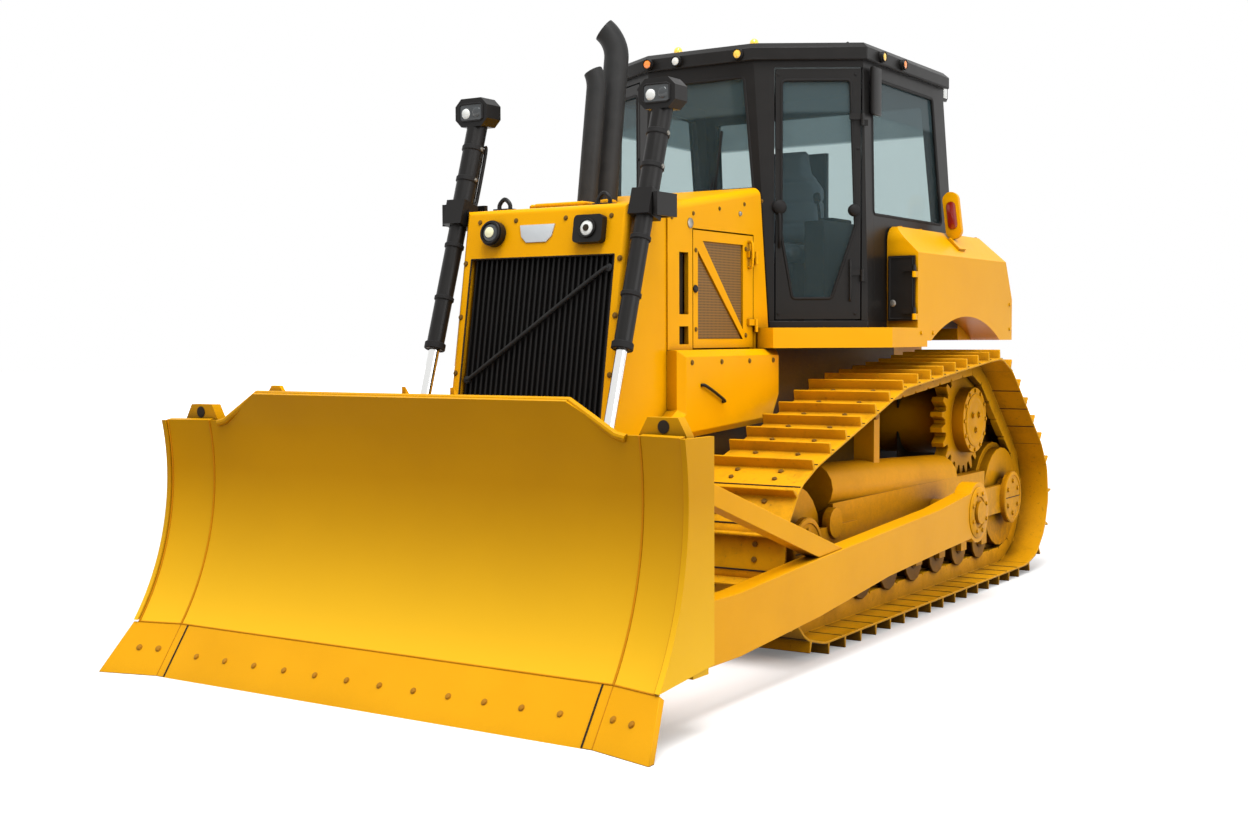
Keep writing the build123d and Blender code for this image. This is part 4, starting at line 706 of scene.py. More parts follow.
    def tube(self, points: Sequence[Point], radius: float, sides: int = 10, smooth: int = 5) -> None:
        """Add a round bar or pipe that follows a smooth path.

        Args:
            points: places that the path passes.
            radius: the bar's radius.
            sides: sides of its section.
            smooth: steps between two places.
        """
        path = smooth_path([self.at(point) for point in points], smooth)
        rings, x_axis = [], None
        for index, place in enumerate(path):
            normal = (path[min(index + 1, len(path) - 1)] - path[max(index - 1, 0)]).normalized()
            x_axis = x_axis or normal.orthogonal()
            x_axis = (x_axis - normal * x_axis.dot(normal)).normalized()
            y_axis = normal.cross(x_axis)
            rings.append([self.mesh.verts.new(place + (x_axis * math.cos(a) + y_axis * math.sin(a)) * radius)
                          for a in (2 * math.pi * i / sides for i in range(sides))])
        self.skin(rings)

    def linked(self) -> bpy.types.Object:
        """Turn the mesh into an object in the scene.

        Returns:
            The new object.
        """
        bmesh.ops.recalc_face_normals(self.mesh, faces=self.mesh.faces)
        data = bpy.data.meshes.new(self.name)
        self.mesh.to_mesh(data)
        self.mesh.free()
        made = bpy.data.objects.new(self.name, data)
        bpy.context.scene.collection.objects.link(made)
        return made

    def finished(self) -> None:
        """Turn the mesh into an object with crisp edges and its finish, riding on its body."""
        made = self.linked()
        made.data.set_sharp_from_angle(angle=math.radians(35))
        put_on(made, self.finish, self.node)


# ---------------------------------------------------------------- the CAD's own pieces
@dataclass
class CadDress:
    """Gives each CAD node its finish and softens its edges."""

    soft_edge: float = 3.5 * MM
    doubled: float = 0.02 * MM
    crease: float = math.radians(32)
    nodes_by_finish: dict[str, str] = field(default_factory=lambda: {
        "track_yellow": "track_left track_right",
        "roller_yellow": "track_rollers",
        "cast_yellow": "idlers sprockets final_drives track_frame_left track_frame_right equalizer_bar",
        "frame_yellow": "main_frame",
        "sheet_yellow": "radiator_guard hood engine_door_left engine_door_right side_panels fender_left "
                        "fender_right fuel_tank tail_lamps",
        "plate_yellow": "drawbar",
        "blade_yellow": "blade",
        "edge_yellow": "cutting_edge end_bits",
        "arm_yellow": "push_arms arm_braces",
        "engine_grey": "engine_block",
        "grille_black": "grille",
        "pipe_black": "stacks",
        "black": "cab_frame cab_walls cab_floor cab_roof cab_door_left cab_door_right access_cover_left "
                 "access_cover_right work_lamps roof_lamps lift_barrel_left lift_barrel_right lift_yokes",
        "glass": "door_glass_left door_glass_right cab_glass",
        "console": "operator_seat control_console",
        "fabric": "seat_cushions",
        "chrome": "lift_rod_left lift_rod_right"})
    sharp_nodes: tuple[str, ...] = ("grille", "door_glass_left", "door_glass_right", "cab_glass", "cutting_edge")

    def smoothing(self) -> bpy.types.NodeTree:
        """Make a modifier tree that joins doubled corners and shades round faces smoothly.

        Returns:
            The tree.
        """
        tree = bpy.data.node_groups.new("smooth_faces", "GeometryNodeTree")
        for way in ("INPUT", "OUTPUT"):
            tree.interface.new_socket("Geometry", in_out=way, socket_type="NodeSocketGeometry")
        start, end, merge, faces, edges, angle, sharper = (tree.nodes.new(kind) for kind in (
            "NodeGroupInput", "NodeGroupOutput", "GeometryNodeMergeByDistance", "GeometryNodeSetShadeSmooth",
            "GeometryNodeSetShadeSmooth", "GeometryNodeInputMeshEdgeAngle", "ShaderNodeMath"))
        merge.inputs["Distance"].default_value = self.doubled
        faces.domain, edges.domain = "FACE", "EDGE"
        edges.inputs["Shade Smooth"].default_value = False
        sharper.operation = "GREATER_THAN"
        sharper.inputs[1].default_value = self.crease
        for source, socket in ((start, merge.inputs[0]), (merge, faces.inputs[0]), (faces, edges.inputs[0]),
                               (angle, sharper.inputs[0]), (sharper, edges.inputs["Selection"]),
                               (edges, end.inputs[0])):
            tree.links.new(source.outputs[0], socket)
        return tree

    def build(self) -> None:
        """Set every node's material and its edge modifiers."""
        tree = self.smoothing()
        finishes = {node: finish for finish, nodes in self.nodes_by_finish.items() for node in nodes.split()}
        for name, node in frame["nodes"].items():
            node.data.materials.clear()
            node.data.materials.append(FINISHES[finishes[name]].material())
            node.modifiers.new("smooth_faces", "NODES").node_group = tree
            if name not in self.sharp_nodes:
                soft = node.modifiers.new("soft_edges", "BEVEL")
                soft.width, soft.segments = self.soft_edge, 2
                soft.limit_method, soft.angle_limit = "ANGLE", self.crease
                soft.use_clamp_overlap = True
            LOG.info("%s in %s", name, finishes[name])


# ---------------------------------------------------------------- studio
@dataclass
class Studio:
    """Plain pale floor, white surround, soft light and the camera."""

    eye: Point = (4.421, -7.523, 1.553)
    # Heading from the nose, dip below the horizon and roll, in degrees
    heading: float = 32.81
    dip: float = 2.907
    roll: float = -0.236
    lens_mm: float = 44.34
    sensor_mm: float = 36.0
    floor_half: float = 60.0
    floor_white: str = "F4F4F4"
    floor_bounce: str = "8C8C8C"
    floor_lift: float = 0.14
    fade: tuple[float, float] = (6.0, 14.0)
    zenith: float = 0.95
    horizon: float = 0.34
    lamp_size: float = 6.0
    # Name, place, what it faces and watts
    lamps: tuple[tuple[str, Point, Point, float], ...] = (
        ("key", (2.5, -4.0, 11.5), (0, -1.0, 0.8), 1050.0), ("fill", (10.0, -2.0, 4.5), (0, 0, 1.0), 370.0))

    def floor(self) -> None:
        """Lay the floor, which shows white to the camera and keeps a soft shadow."""
        data = bpy.data.meshes.new("floor")
        corners = [(x * self.floor_half, y * self.floor_half, 0) for x, y in ((-1, -1), (1, -1), (1, 1), (-1, 1))]
        data.from_pydata(corners, [], [(0, 1, 2, 3)])
        floor = bpy.data.objects.new("floor", data)
        bpy.context.scene.collection.objects.link(floor)
        material = bpy.data.materials.new("pale_floor")
        nodes = Nodes(material)
        seen = nodes.white_rays()
        # White to the eye, but dull as a reflector, so that little colour comes up under the machine
        matt = nodes.add("BsdfDiffuse", {"Color": nodes.blend(seen, self.floor_bounce, self.floor_white)})
        far = nodes.add("VectorMath", {0: nodes.place}, "Value", operation="LENGTH")
        base = nodes.combine("MAXIMUM", nodes.remap(far, *self.fade), self.floor_lift)
        white = nodes.add("Emission", {"Color": "FFFFFF", "Strength": nodes.combine("MULTIPLY", base, seen)})
        nodes.add("OutputMaterial", {"Surface": nodes.add("AddShader", {0: matt, 1: white})})
        data.materials.append(material)

    def world(self) -> None:
        """Set the surround: white to the camera, and as light brighter overhead than at the horizon."""
        world = bpy.context.scene.world = bpy.data.worlds.new("studio")
        nodes = Nodes(world)
        seen = nodes.white_rays()
        rise = nodes.add("SeparateXYZ", {"Vector": nodes.place.node.outputs["Generated"]}, "Z")
        strength = nodes.remap(rise, 0.0, 0.8, self.horizon, self.zenith)
        light, white = (nodes.add("Background", {"Color": "FFFFFF", "Strength": amount})
                        for amount in (strength, 1.0))
        nodes.add("OutputWorld", {"Surface": nodes.add("MixShader", {0: seen, 1: light, 2: white})})

    def lamp(self, name: str, place: Point, faced: Point, power: float) -> None:
        """Hang a large square lamp.

        Args:
            name: its name.
            place: where it hangs.
            faced: what it faces.
            power: its power in watts.
        """
        data = bpy.data.lights.new(name, "AREA")
        data.size, data.energy = self.lamp_size, power
        lamp = bpy.data.objects.new(name, data)
        lamp.location = place
        lamp.rotation_euler = (Vector(faced) - Vector(place)).to_track_quat("-Z", "Y").to_euler()
        bpy.context.scene.collection.objects.link(lamp)

    def camera(self) -> None:
        """Set the camera at its place, with its lens and its slight roll."""
        data = bpy.data.cameras.new("camera")
        data.lens, data.sensor_width = self.lens_mm, self.sensor_mm
        camera = bpy.data.objects.new("camera", data)
        camera.matrix_world = Matrix.Translation(self.eye)
        for angle, axis in ((self.heading, "Z"), (90 - self.dip, "X"), (self.roll, "Z")):
            camera.matrix_world = camera.matrix_world @ Matrix.Rotation(math.radians(angle), 4, axis)
        bpy.context.scene.collection.objects.link(camera)
        bpy.context.scene.camera = camera

    def build(self) -> None:
        """Build the whole studio."""
        self.camera()
        self.floor()
        self.world()
        for lamp in self.lamps:
            self.lamp(*lamp)
        bpy.context.scene.view_settings.view_transform = "Standard"


# ---------------------------------------------------------------- fittings
@dataclass
class Fittings:
    """A group of small pieces that are built together."""

    pieces: list[Piece] = field(default_factory=list)

    def start(self, stem: str, finish: str, node: str = "main_frame", side: Side | None = None) -> Piece:
        """Start a piece. With a side, its name ends in that side's, and so does its node's where there is one.

        Args:
            stem: the piece's name without a side.
            finish: name of its finish.
            node: the CAD node that it rides with, without a side.
            side: the side it is on.
        Returns:
            The empty piece.
        """
        name, own_node = (side.named(stem), side.named(node)) if side else (stem, node)
        own_node = own_node if own_node in frame["nodes"] else node
        self.pieces.append(Piece(name, finish, own_node, side.value if side else 1.0))
        return self.pieces[-1]

    def lamp(self, name: str, place: Point, normal: Point, radius: float, lens: str, depth: float = 0.012) -> None:
        """Add a round lamp: a bezel ring and a domed lens inside it.

        Args:
            name: stem of the pieces' names.
            place: middle of the lamp on its housing's face.
            normal: direction that it faces.
            radius: outer radius of the bezel.
            lens: finish of the lens.
            depth: how far the ring stands out.
        """
        inner = radius * 0.8
        self.start(f"{name}_bezel", "black").lathe(place, normal, (
            (radius * 0.96, -0.002), (radius, 0.002), (radius, depth * 0.7), (radius * 0.95, depth),
            (inner, depth), (inner * 0.98, depth * 0.5)))
        self.start(f"{name}_lens", lens).lathe(place, normal, (
            (inner * 0.99, depth * 0.4), (inner * 0.9, depth * 0.7), (inner * 0.6, depth * 0.95),
            (inner * 0.25, depth * 1.05), (0, depth * 1.08)))

    def middle(self) -> None:
        """Build the pieces that aren't on one side. A group without any leaves this as it is."""

    def sided(self, side: Side) -> None:
        """Build one side's pieces. A group without any leaves this as it is."""

    def build(self) -> None:
        """Build every piece of the group and put it in the scene."""
        self.middle()
        for side in Side:
            self.sided(side)
        for piece in self.pieces:
            piece.finished()


@dataclass
class BladeFittings(Fittings):
    """Bolts, joints, weld beads and eyes on the blade."""

    edge_y: float = -2.7833
    edge_slope: float = math.radians(55)
    edge_half: float = 1.165
    joint_heights: tuple[float, ...] = (0.004, 0.11, 0.216)
    fold_x: float = 1.213
    wing_turn: float = math.radians(15)
    half_width: float = 1.440
    # Middle (y, z) and radius of the moldboard's curve, and its slope at the wings' top and at the hump
    arc: tuple[float, float, float] = (-3.6206, 0.9142, 1.2103)
    arc_top: float = math.radians(102.2)
    hump_slope: float = math.radians(106)
    hump: tuple[float, float, float] = (0.885, 1.100, 1.300)
    top_z: float = 1.170
    bolt_count: int = 12
    bolt_reach: float = 1.02
    bolt_z: float = 0.100
    bit_bolts: tuple[float, ...] = (1.270, 1.370)

    def on_edge(self, x: float, z: float) -> tuple[Vector, Vector]:
        """Find a point on the cutting edge's face and the normal there.

        Args:
            x: place across the blade, beyond the folds on the bits.
            z: height.
        Returns:
            The point and the outward normal.
        """
        beyond = max(0.0, abs(x) - self.fold_x)
        turn = self.wing_turn if beyond > 0 else 0.0
        y = self.edge_y + z / math.tan(self.edge_slope) - beyond * math.tan(turn)
        flat = math.sin(self.edge_slope)
        normal = (-math.copysign(math.sin(turn) * flat, x), -math.cos(turn) * flat, math.cos(self.edge_slope))
        return Vector((x, y, z)), Vector(normal)

    def on_arc(self, angle: float, x: float) -> Vector:
        """Find a point of the moldboard's face.

        Args:
            angle: the face's slope there.
            x: place across the blade.
        Returns:
            The point.
        """
        centre_y, centre_z, radius = self.arc
        beyond = max(0.0, abs(x) - self.fold_x)
        return Vector((x, centre_y + radius * math.sin(angle) - beyond * math.tan(self.wing_turn),
                       centre_z - radius * math.cos(angle)))

    def middle(self) -> None:
        """Build every fitting of the blade."""
        self.edge()
        self.top()
        rings = self.start("corner_eyes", "seam_and_shade_dark", "blade")
        grip = self.start("blade_back_bolts", "steel_dark", "blade")
        for side in (-1, 1):
            rings.lathe((side * 1.305, -2.4055, 1.206), AHEAD, ((0.026, -0.001), (0.026, 0.002), (0, 0.002)), 24)
            for x in (1.235, 1.345):
                for z in (0.96, 1.03):
                    grip.bolt((side * x, -2.290, z), ASTERN, Bolt.RIB)

    def edge(self) -> None:
        """Add the cutting edge's bolts and joints, and the moldboard's weld beads."""
        bolts = self.start("edge_bolts", "bolt_yellow", "blade")
        seams = self.start("edge_joints", "seam_and_shade_dark", "blade")
        low_weld = self.start("lower_edge_weld", "weld_yellow", "blade")
        welds = self.start("moldboard_welds", "weld_yellow", "blade")
        for index in range(self.bolt_count):
            x = 2 * self.bolt_reach * index / (self.bolt_count - 1) - self.bolt_reach
            bolts.bolt(*self.on_edge(x, self.bolt_z), Bolt.EDGE)
        low_weld.tube([self.on_arc(self.edge_slope, x) for x in (-self.half_width, -self.fold_x, self.fold_x,
                                                                 self.half_width)], 0.0040, 6, 1)
        for side in (-1, 1):
            for x in self.bit_bolts:
                bolts.bolt(*self.on_edge(side * x, self.bolt_z + 0.012), Bolt.BIT)
            for piece, x, radius in ((seams, self.edge_half, 0.0045), (low_weld, self.fold_x + 0.0005, 0.0022)):
                piece.tube([self.on_edge(side * x, z)[0] for z in self.joint_heights], radius, 6, 2)
        slopes = [self.edge_slope + (self.arc_top - self.edge_slope) * step / 12 for step in range(13)]
        for x, radius in ((self.fold_x, 0.006), (self.half_width - 0.004, 0.005)):
            for side in (-1, 1):
                welds.tube([self.on_arc(slope, side * x) for slope in slopes], radius, 8, 2)

    def top(self) -> None:
        """Add the rounded lip along the blade's top and the eye plates behind it."""
        half_top, half_base, hump_z = self.hump
        lip = self.start("blade_top_lip", "blade_yellow", "blade")
        lip_y = self.on_arc(self.hump_slope, 0.0).y + 0.016
        left = [(half_base + 0.05, self.top_z - 0.012), (half_base, self.top_z), (half_top, hump_z)]
        outline = [(-x, z) for x, z in left] + left[::-1]
        lip.tube([(x, lip_y + 0.004 * (hump_z - z) / 0.13, z) for x, z in outline], 0.017, 10, 1)
        eyes = self.start("blade_eyes", "plate_yellow", "blade")
        top_y = self.on_arc(self.arc_top, 0).y
        eye = ((-0.045, -0.10), (0.045, -0.10), (0.045, 0.012), (0.026, 0.038), (-0.026, 0.038), (-0.045, 0.012))
        eyes.plate(eye, (-0.830, top_y + 0.058, hump_z), frame_axes(AHEAD), 0.022)
        for x in (-0.02, 0.25):
            eyes.plate(((0.0, 0.045), (0.26, -0.28), (0.20, -0.34), (0.0, -0.20)),
                       (x + 0.011, top_y + 0.030, hump_z), SIDEWAYS, 0.022)


@dataclass
class NoseFittings(Fittings):
    """Lamps, badge plate, grille bar and lifting hooks on the radiator guard."""

    top_y: float = -1.370
    top_z: float = 2.195
    lean: float = math.radians(9.4)
    lamp_x: float = 0.289
    lamp_z: float = 2.070
    lamp_depth: float = 0.0403
    # Half width, low and high of the grille's opening, and the ends of the bar across it
    grille: tuple[float, float, float] = (0.430, 1.075, 1.950)
    bar_ends: tuple[Point, Point] = ((-0.400, 1.350), (0.395, 1.890))
    hook_x: float = 0.300
    hook_y: float = -1.300

    def face(self, x: float, z: float, out: float = 0.0) -> Vector:
        """Return a point on the leaning front face, or out from it."""
        return Vector((x, self.top_y - (self.top_z - z) * math.tan(self.lean), z)) + self.normal() * out

    def normal(self) -> Vector:
        """Return the face's outward normal."""
        return Vector((0, -math.cos(self.lean), math.sin(self.lean)))

    def middle(self) -> None:
        """Build the nose's fittings."""
        self.lamps()
        self.grille_parts()
        self.top_parts()
        badge = self.start("badge_plate", "silver")
        badge.plate(((-0.092, -0.014), (-0.060, -0.044), (0.060, -0.044), (0.092, -0.014), (0.105, 0.044),
                     (-0.105, 0.044)), self.face(-0.035, 2.066, 0.006), frame_axes(self.normal()), 0.006, 0.002)

    def lamps(self) -> None:
        """Add both lamps with their bulbs."""
        for side, radius, lens, depth, finish, bulb in (
                (Side.LEFT, 0.048, "lens", 0.012, "seam_and_shade_dark", ((0.017, 0.0), (0.016, 0.005), (0, 0.006))),
                (Side.RIGHT, 0.060, "smoked_lens", 0.014, "pale_lens",
                 ((0.027, 0.0), (0.026, 0.005), (0.016, 0.009), (0, 0.010)))):
            x = side.value * self.lamp_x
            self.lamp(side.named("nose_lamp"), self.face(x, self.lamp_z, self.lamp_depth), self.normal(), radius,
                      lens, depth)
            self.start(side.named("nose_lamp_bulb"), finish).lathe(
                self.face(x, self.lamp_z, self.lamp_depth + depth - (0.001 if side is Side.LEFT else 0.002)),
                self.normal(), bulb, 20 if side is Side.LEFT else 24)

    def grille_parts(self) -> None:
        """Add the bar across the grille, the opening's dark rim and the guard's bolts."""
        bar = self.start("grille_bar", "pipe_black")
        (low_x, low_z), (high_x, high_z) = self.bar_ends
        bar.tube([self.face(low_x, low_z, -0.016), self.face(-0.32, 1.400, -0.013), self.face(0.31, 1.845, -0.013),
                  self.face(high_x, high_z, -0.016)], 0.010, 10, 6)
        for x, z in self.bar_ends:
            bar.lathe(self.face(x, z, -0.028), self.normal(), ((0.019, 0), (0.019, 0.014), (0.012, 0.018),
                                                               (0, 0.018)), 16)
        rim = self.start("grille_rim", "seam_and_shade_dark")
        half, low, high = self.grille
        corners = [(-half, low), (half, low), (half, high), (-half, high)]
        for start, end in zip(corners, corners[1:] + corners[:1]):
            rim.tube([self.face(*start, -0.003), self.face(*end, -0.003)], 0.0045, 8, 1)
        bolts = self.start("nose_bolts", "steel_dark")
        for z in (1.10, 1.38, 1.66, 1.93):
            for x in (-0.462, 0.462):
                bolts.bolt(self.face(x, z), self.normal(), Bolt.PANEL)
        for x in (-0.395, -0.170, 0.130, 0.395):
            bolts.bolt(self.face(x, 2.135), self.normal(), Bolt.SHEET)

    def top_parts(self) -> None:
        """Add the lifting hooks, the cover and the two caps on the guard's top."""
        hooks = self.start("nose_hooks", "black")
        bend = ((-0.032, 2.188), (-0.032, 2.225), (0, 2.252), (0.032, 2.225), (0.032, 2.188))
        for x in (-self.hook_x, self.hook_x):
            hooks.tube([(x + across, self.hook_y, z) for across, z in bend], 0.011, 10, 6)
            hooks.box((x, self.hook_y, 2.199), (0.11, 0.055, 0.010), 0.003)
        top = self.start("nose_top_fittings", "sheet_yellow")
        top.box((0.02, -1.230, 2.209), (0.30, 0.11, 0.028), 0.010)
        top.lathe((0.255, -1.200, 2.193), UP, ((0.046, 0), (0.046, 0.022), (0.040, 0.034), (0.018, 0.038),
                                               (0, 0.038)), 28)
        top.lathe((-0.180, -1.210, 2.193), UP, ((0.026, 0), (0.026, 0.024), (0.018, 0.032), (0, 0.032)), 20)


@dataclass
class HoodFittings(Fittings):
    """Punched screens, latches, handles and fasteners on the engine's sides."""

    face: float = 0.500
    panel: float = 0.585
    screen: tuple[float, float, float, float] = (-0.7442, -0.2647, 1.545, 2.045)
    stay: float = 0.050
    recess: float = 0.012
    inset: float = 0.004
    # Height and run of the hood's sloping edge, for the bolts below it
    slope_start: tuple[float, float] = (-1.0397, 2.215)
    slope: float = 0.1547

    def sided(self, side: Side) -> None:
        """Build one side's fittings."""
        self.door_parts(side)
        self.hood_parts(side)

    def door_parts(self, side: Side) -> None:
        """Lay the punched screens behind the door's stay, and add its bolts, handle and latch.

        Args:
            side: the side.
        """
        front, rear, low, high = self.screen
        edge, gap = self.inset, 2.2 * self.inset
        sheet = self.start("engine_screen", "screen", "engine_door", side)
        axes = Matrix(((0, 0, side.value), (side.value, 0, 0), (0, 1, 0))).to_4x4()
        for outline in (((front + edge, low + edge), (rear - gap, low + edge),
                         (front + edge, high - self.stay - gap)),
                        ((front + self.stay + gap, high - edge), (rear - edge, low + self.stay + gap),
                         (rear - edge, high - edge))):
            corners = [(y * side.value, z) for y, z in outline][::int(side.value)]
            sheet.plate(corners, (self.face - self.recess + 0.002, 0, 0), axes, 0.0018, 0.0)
        bolts = self.start("screen_bolts", "steel_dark", "engine_door", side)
        for y, z in ((front - 0.022, low + 0.05), (front - 0.022, high - 0.05), (rear + 0.03, low + 0.02),
                     (rear + 0.03, high - 0.02)):
            bolts.bolt((self.face, y, z), OUTWARD, Bolt.SHEET)
        self.start("engine_door_handle", "sheet_yellow", "engine_door", side).tube(
            [(self.face + out, -0.205, z) for out, z in ((0, 1.93), (0.024, 1.935), (0.024, 2.055), (0, 2.06))],
            0.008, 10, 4)
        self.start("engine_door_latch", "black", "engine_door", side).lathe(
            (self.face, -0.772, 1.80), OUTWARD, ((0.020, -0.001), (0.020, 0.006), (0.012, 0.012), (0, 0.012)), 20)

    def hood_parts(self, side: Side) -> None:
        """Add the latches, the small lever, the bolts and the slot liners of the hood and lower panel.

        Args:
            side: the side.
        """
        latch = self.start("hood_latches", "steel", side=side)
        for y, z, radius in ((-0.822, 2.128, 0.026), (-0.300, 2.208, 0.013)):
            latch.lathe((self.face, y, z), OUTWARD, ((radius, -0.001), (radius, 0.005), (radius * 0.7, 0.010),
                                                     (0, 0.011)), 24)
        self.start("panel_lever", "black", side=side).tube(
            [(self.panel + out, y, z) for out, y, z in ((-0.004, -0.86, 1.315), (0.020, -0.84, 1.310),
                                                        (0.020, -0.66, 1.235), (-0.004, -0.64, 1.225))],
            0.008, 10, 4)
        bolts = self.start("hood_bolts", "steel_dark", side=side)
        start_y, start_z = self.slope_start
        for y in (-1.00, -0.79, -0.52, -0.25, -0.05):
            bolts.bolt((self.face, y, start_z + (y - start_y) * self.slope - 0.075), OUTWARD, Bolt.TRIM)
        for y in (-0.95, -0.65, -0.35, -0.08):
            bolts.bolt((self.panel, y, 1.43), OUTWARD, Bolt.PANEL)
        slots = self.start("hood_slot_liners", "seam_and_shade_dark", side=side)
        for low, high in ((1.520, 1.610), (1.670, 1.980)):
            slots.box((self.face - 0.034, -0.884, (low + high) / 2), (0.004, 0.086, high - low - 0.004), 0.001)


@dataclass(frozen=True)
class CabWall:
    """A leaning wall of the cab: places on it are given along it, up it and out of it."""

    start: Point
    end: Point
    top: Point
    window: Sequence[Point]
    low_z: float = 1.6053
    high_z: float = 3.0950

    def axes(self) -> Matrix:
        """Find the wall's rotation: X along it, Y up it and Z out of it.

        Returns:
            The rotation.
        """
        x_axis = Vector((self.end[0] - self.start[0], self.end[1] - self.start[1], 0)).normalized()
        rise = Vector((self.top[0] - self.end[0], self.top[1] - self.end[1], self.high_z - self.low_z))
        z_axis = x_axis.cross(rise).normalized()
        return Matrix((x_axis, z_axis.cross(x_axis), z_axis)).transposed()

    def at(self, along: float, up: float, out: float = 0.0) -> Vector:
        """Return a place from distances along, up and out of the wall."""
        return Vector((self.end[0], self.end[1], self.low_z)) + self.axes() @ Vector((along, up, out))

    def seal_path(self, radius: float = 0.030, out: float = -0.004, steps: int = 5) -> list[Vector]:
        """Find the window's outline with rounded corners, closed on itself.

        Args:
            radius: radius of the corners.
            out: distance out of the wall.
            steps: points on each corner's arc.
        Returns:
            The outline's places.
        """
        rounded, count = [], len(self.window)
        for index in range(count):
            before, corner, after = (Vector(self.window[(index + k) % count]) for k in (-1, 0, 1))
            first, last = (before - corner).normalized(), (after - corner).normalized()
            reach = radius / math.tan(first.angle(last) / 2)
            start, end = corner + first * reach, corner + last * reach
            for t in (step / steps for step in range(steps + 1)):
                rounded.append(start * (1 - t) ** 2 + corner * 2 * t * (1 - t) + end * t * t)
        return [self.at(point.x, point.y, out) for point in rounded + rounded[:1]]


@dataclass
class CabFittings(Fittings):
    """Window seals, door hardware, lamps, wiper and controls of the cab."""

    door: CabWall = CabWall((0.420, 0.1963), (0.890, 0.490), (0.862, 0.470), (
        (-0.489, 0.521), (-0.489, 1.380), (-0.1018, 1.380), (-0.0739, 0.566), (-0.2072, 0.164), (-0.427, 0.164)))
    side_wall: CabWall = CabWall((0.890, 0.490), (0.890, 1.890), (0.862, 1.670), (
        (-1.305, 0.6406), (-0.260, 0.6406), (-0.390, 1.4047), (-1.305, 1.4047)))
    front_wall: CabWall = CabWall((-0.420, 0.1963), (0.420, 0.1963), (0.345, 0.147), (
        (-0.778, 0.432), (-0.062, 0.432), (-0.137, 1.4047), (-0.703, 1.4047)))
    rear_wall: CabWall = CabWall((0.890, 1.890), (-0.890, 1.890), (-0.862, 1.670), (
        (-1.656, 0.6406), (-0.124, 0.6406), (-0.155, 1.4047), (-1.625, 1.4047)))
    knob: Profile = ((0.040, -0.001), (0.042, 0.010), (0.036, 0.026), (0.024, 0.034), (0, 0.036))
    roof_z: float = 3.190
    roof_low_z: float = 3.095
    roof_overhang: float = 0.032
    lamp_z: float = 3.130
    lamp_depth: float = 0.0163
    lamp_radius: float = 0.032 * 0.97
    front_lamps: tuple[tuple[float, str], ...] = ((-0.320, "amber_lens"), (-0.130, "lens"), (0.270, "warm_lens"))
    side_lamps: tuple[tuple[float, str], ...] = ((0.640, "warm_lens"), (0.940, "amber_lens"))
    rear_lamp_x: float = 0.790
    display_turn: Matrix = field(default_factory=lambda: Matrix.Rotation(math.radians(-14), 4, "X"))

    def seal(self, stem: str, wall: CabWall, node: str = "main_frame", side: Side | None = None) -> None:
        """Run a rubber seal round a wall's window."""
        self.start(stem, "rubber", node, side).tube(wall.seal_path(), 0.0095, 8, 1)

    def middle(self) -> None:
        """Build the fittings on the cab's middle."""
        self.seal("windscreen_seal", self.front_wall)
        self.seal("rear_window_seal", self.rear_wall)
        self.wiper()
        self.roof()
        self.controls()
        front_y = self.front_wall.top[1] - self.roof_overhang - self.lamp_depth
        for index, (x, lens) in enumerate(self.front_lamps, 1):
            self.lamp(f"roof_front_lamp_{index}", (x, front_y, self.lamp_z), AHEAD, self.lamp_radius, lens)

    def sided(self, side: Side) -> None:
        """Build one side's seals, lamps and door hardware.

        Args:
            side: the side.
        """
        self.seal("door_seal", self.door, "cab_door", side)
        self.seal("side_window_seal", self.side_wall, side=side)
        self.door_hardware(side)
        x = side.value * (self.door.top[0] + self.roof_overhang + self.lamp_depth)
        for index, (y, lens) in enumerate(self.side_lamps, 1):
            self.lamp(f"{side.named('roof')}_lamp_{index}", (x, y, self.lamp_z), (side.value, 0, 0),
                      self.lamp_radius, lens)
        self.lamp(side.named("roof_rear_lamp"), (side.value * self.rear_lamp_x, 1.7923, 3.085), ASTERN, 0.040,
                  "lens")
        self.start("rear_lamp_lens_side", "lens", side=side).box(
            (self.rear_lamp_x + 0.0605, 1.745, 3.075), (0.004, 0.058, 0.060), 0.0015)

    def door_hardware(self, side: Side) -> None:
        """Add the door's knobs, its lock bar, its grab bar, its bolts and the cover on its post.

        Args:
            side: the side.
        """
        door, normal = self.door, self.door.axes().col[2]
        lock = self.start("door_lock", "rubber", "cab_door", side)
        lock.lathe(door.at(-0.500, 0.675), normal, self.knob, 28)
        lock.lathe(door.at(-0.083, 0.655), normal, [(radius * 0.85, along) for radius, along in self.knob], 28)
        lock.tube([door.at(-0.500, up, out) for up, out in ((0.640, 0.020), (0.60, 0.030), (0.50, 0.030),
                                                            (0.45, 0.0))], 0.009)
        rail = self.start("door_grab_bar", "black", "cab_door", side)
        rail.tube([door.at(-0.104, up, out) for up, out in ((0.37, -0.002), (0.36, 0.018), (0.17, 0.018),
                                                            (0.16, -0.002))], 0.007)
        self.start("post_cover", "black", side=side).box((0.893, 0.575, 2.930), (0.030, 0.105, 0.270), 0.010)
        bolts = self.start("door_bolts", "rubber", "cab_door", side)
        for along, up in ((-0.505, 1.41), (-0.075, 1.41), (-0.505, 0.08), (-0.075, 0.08), (-0.505, 1.0),
                          (-0.060, 1.0)):
            bolts.bolt(door.at(along, up), normal, Bolt.DOOR)

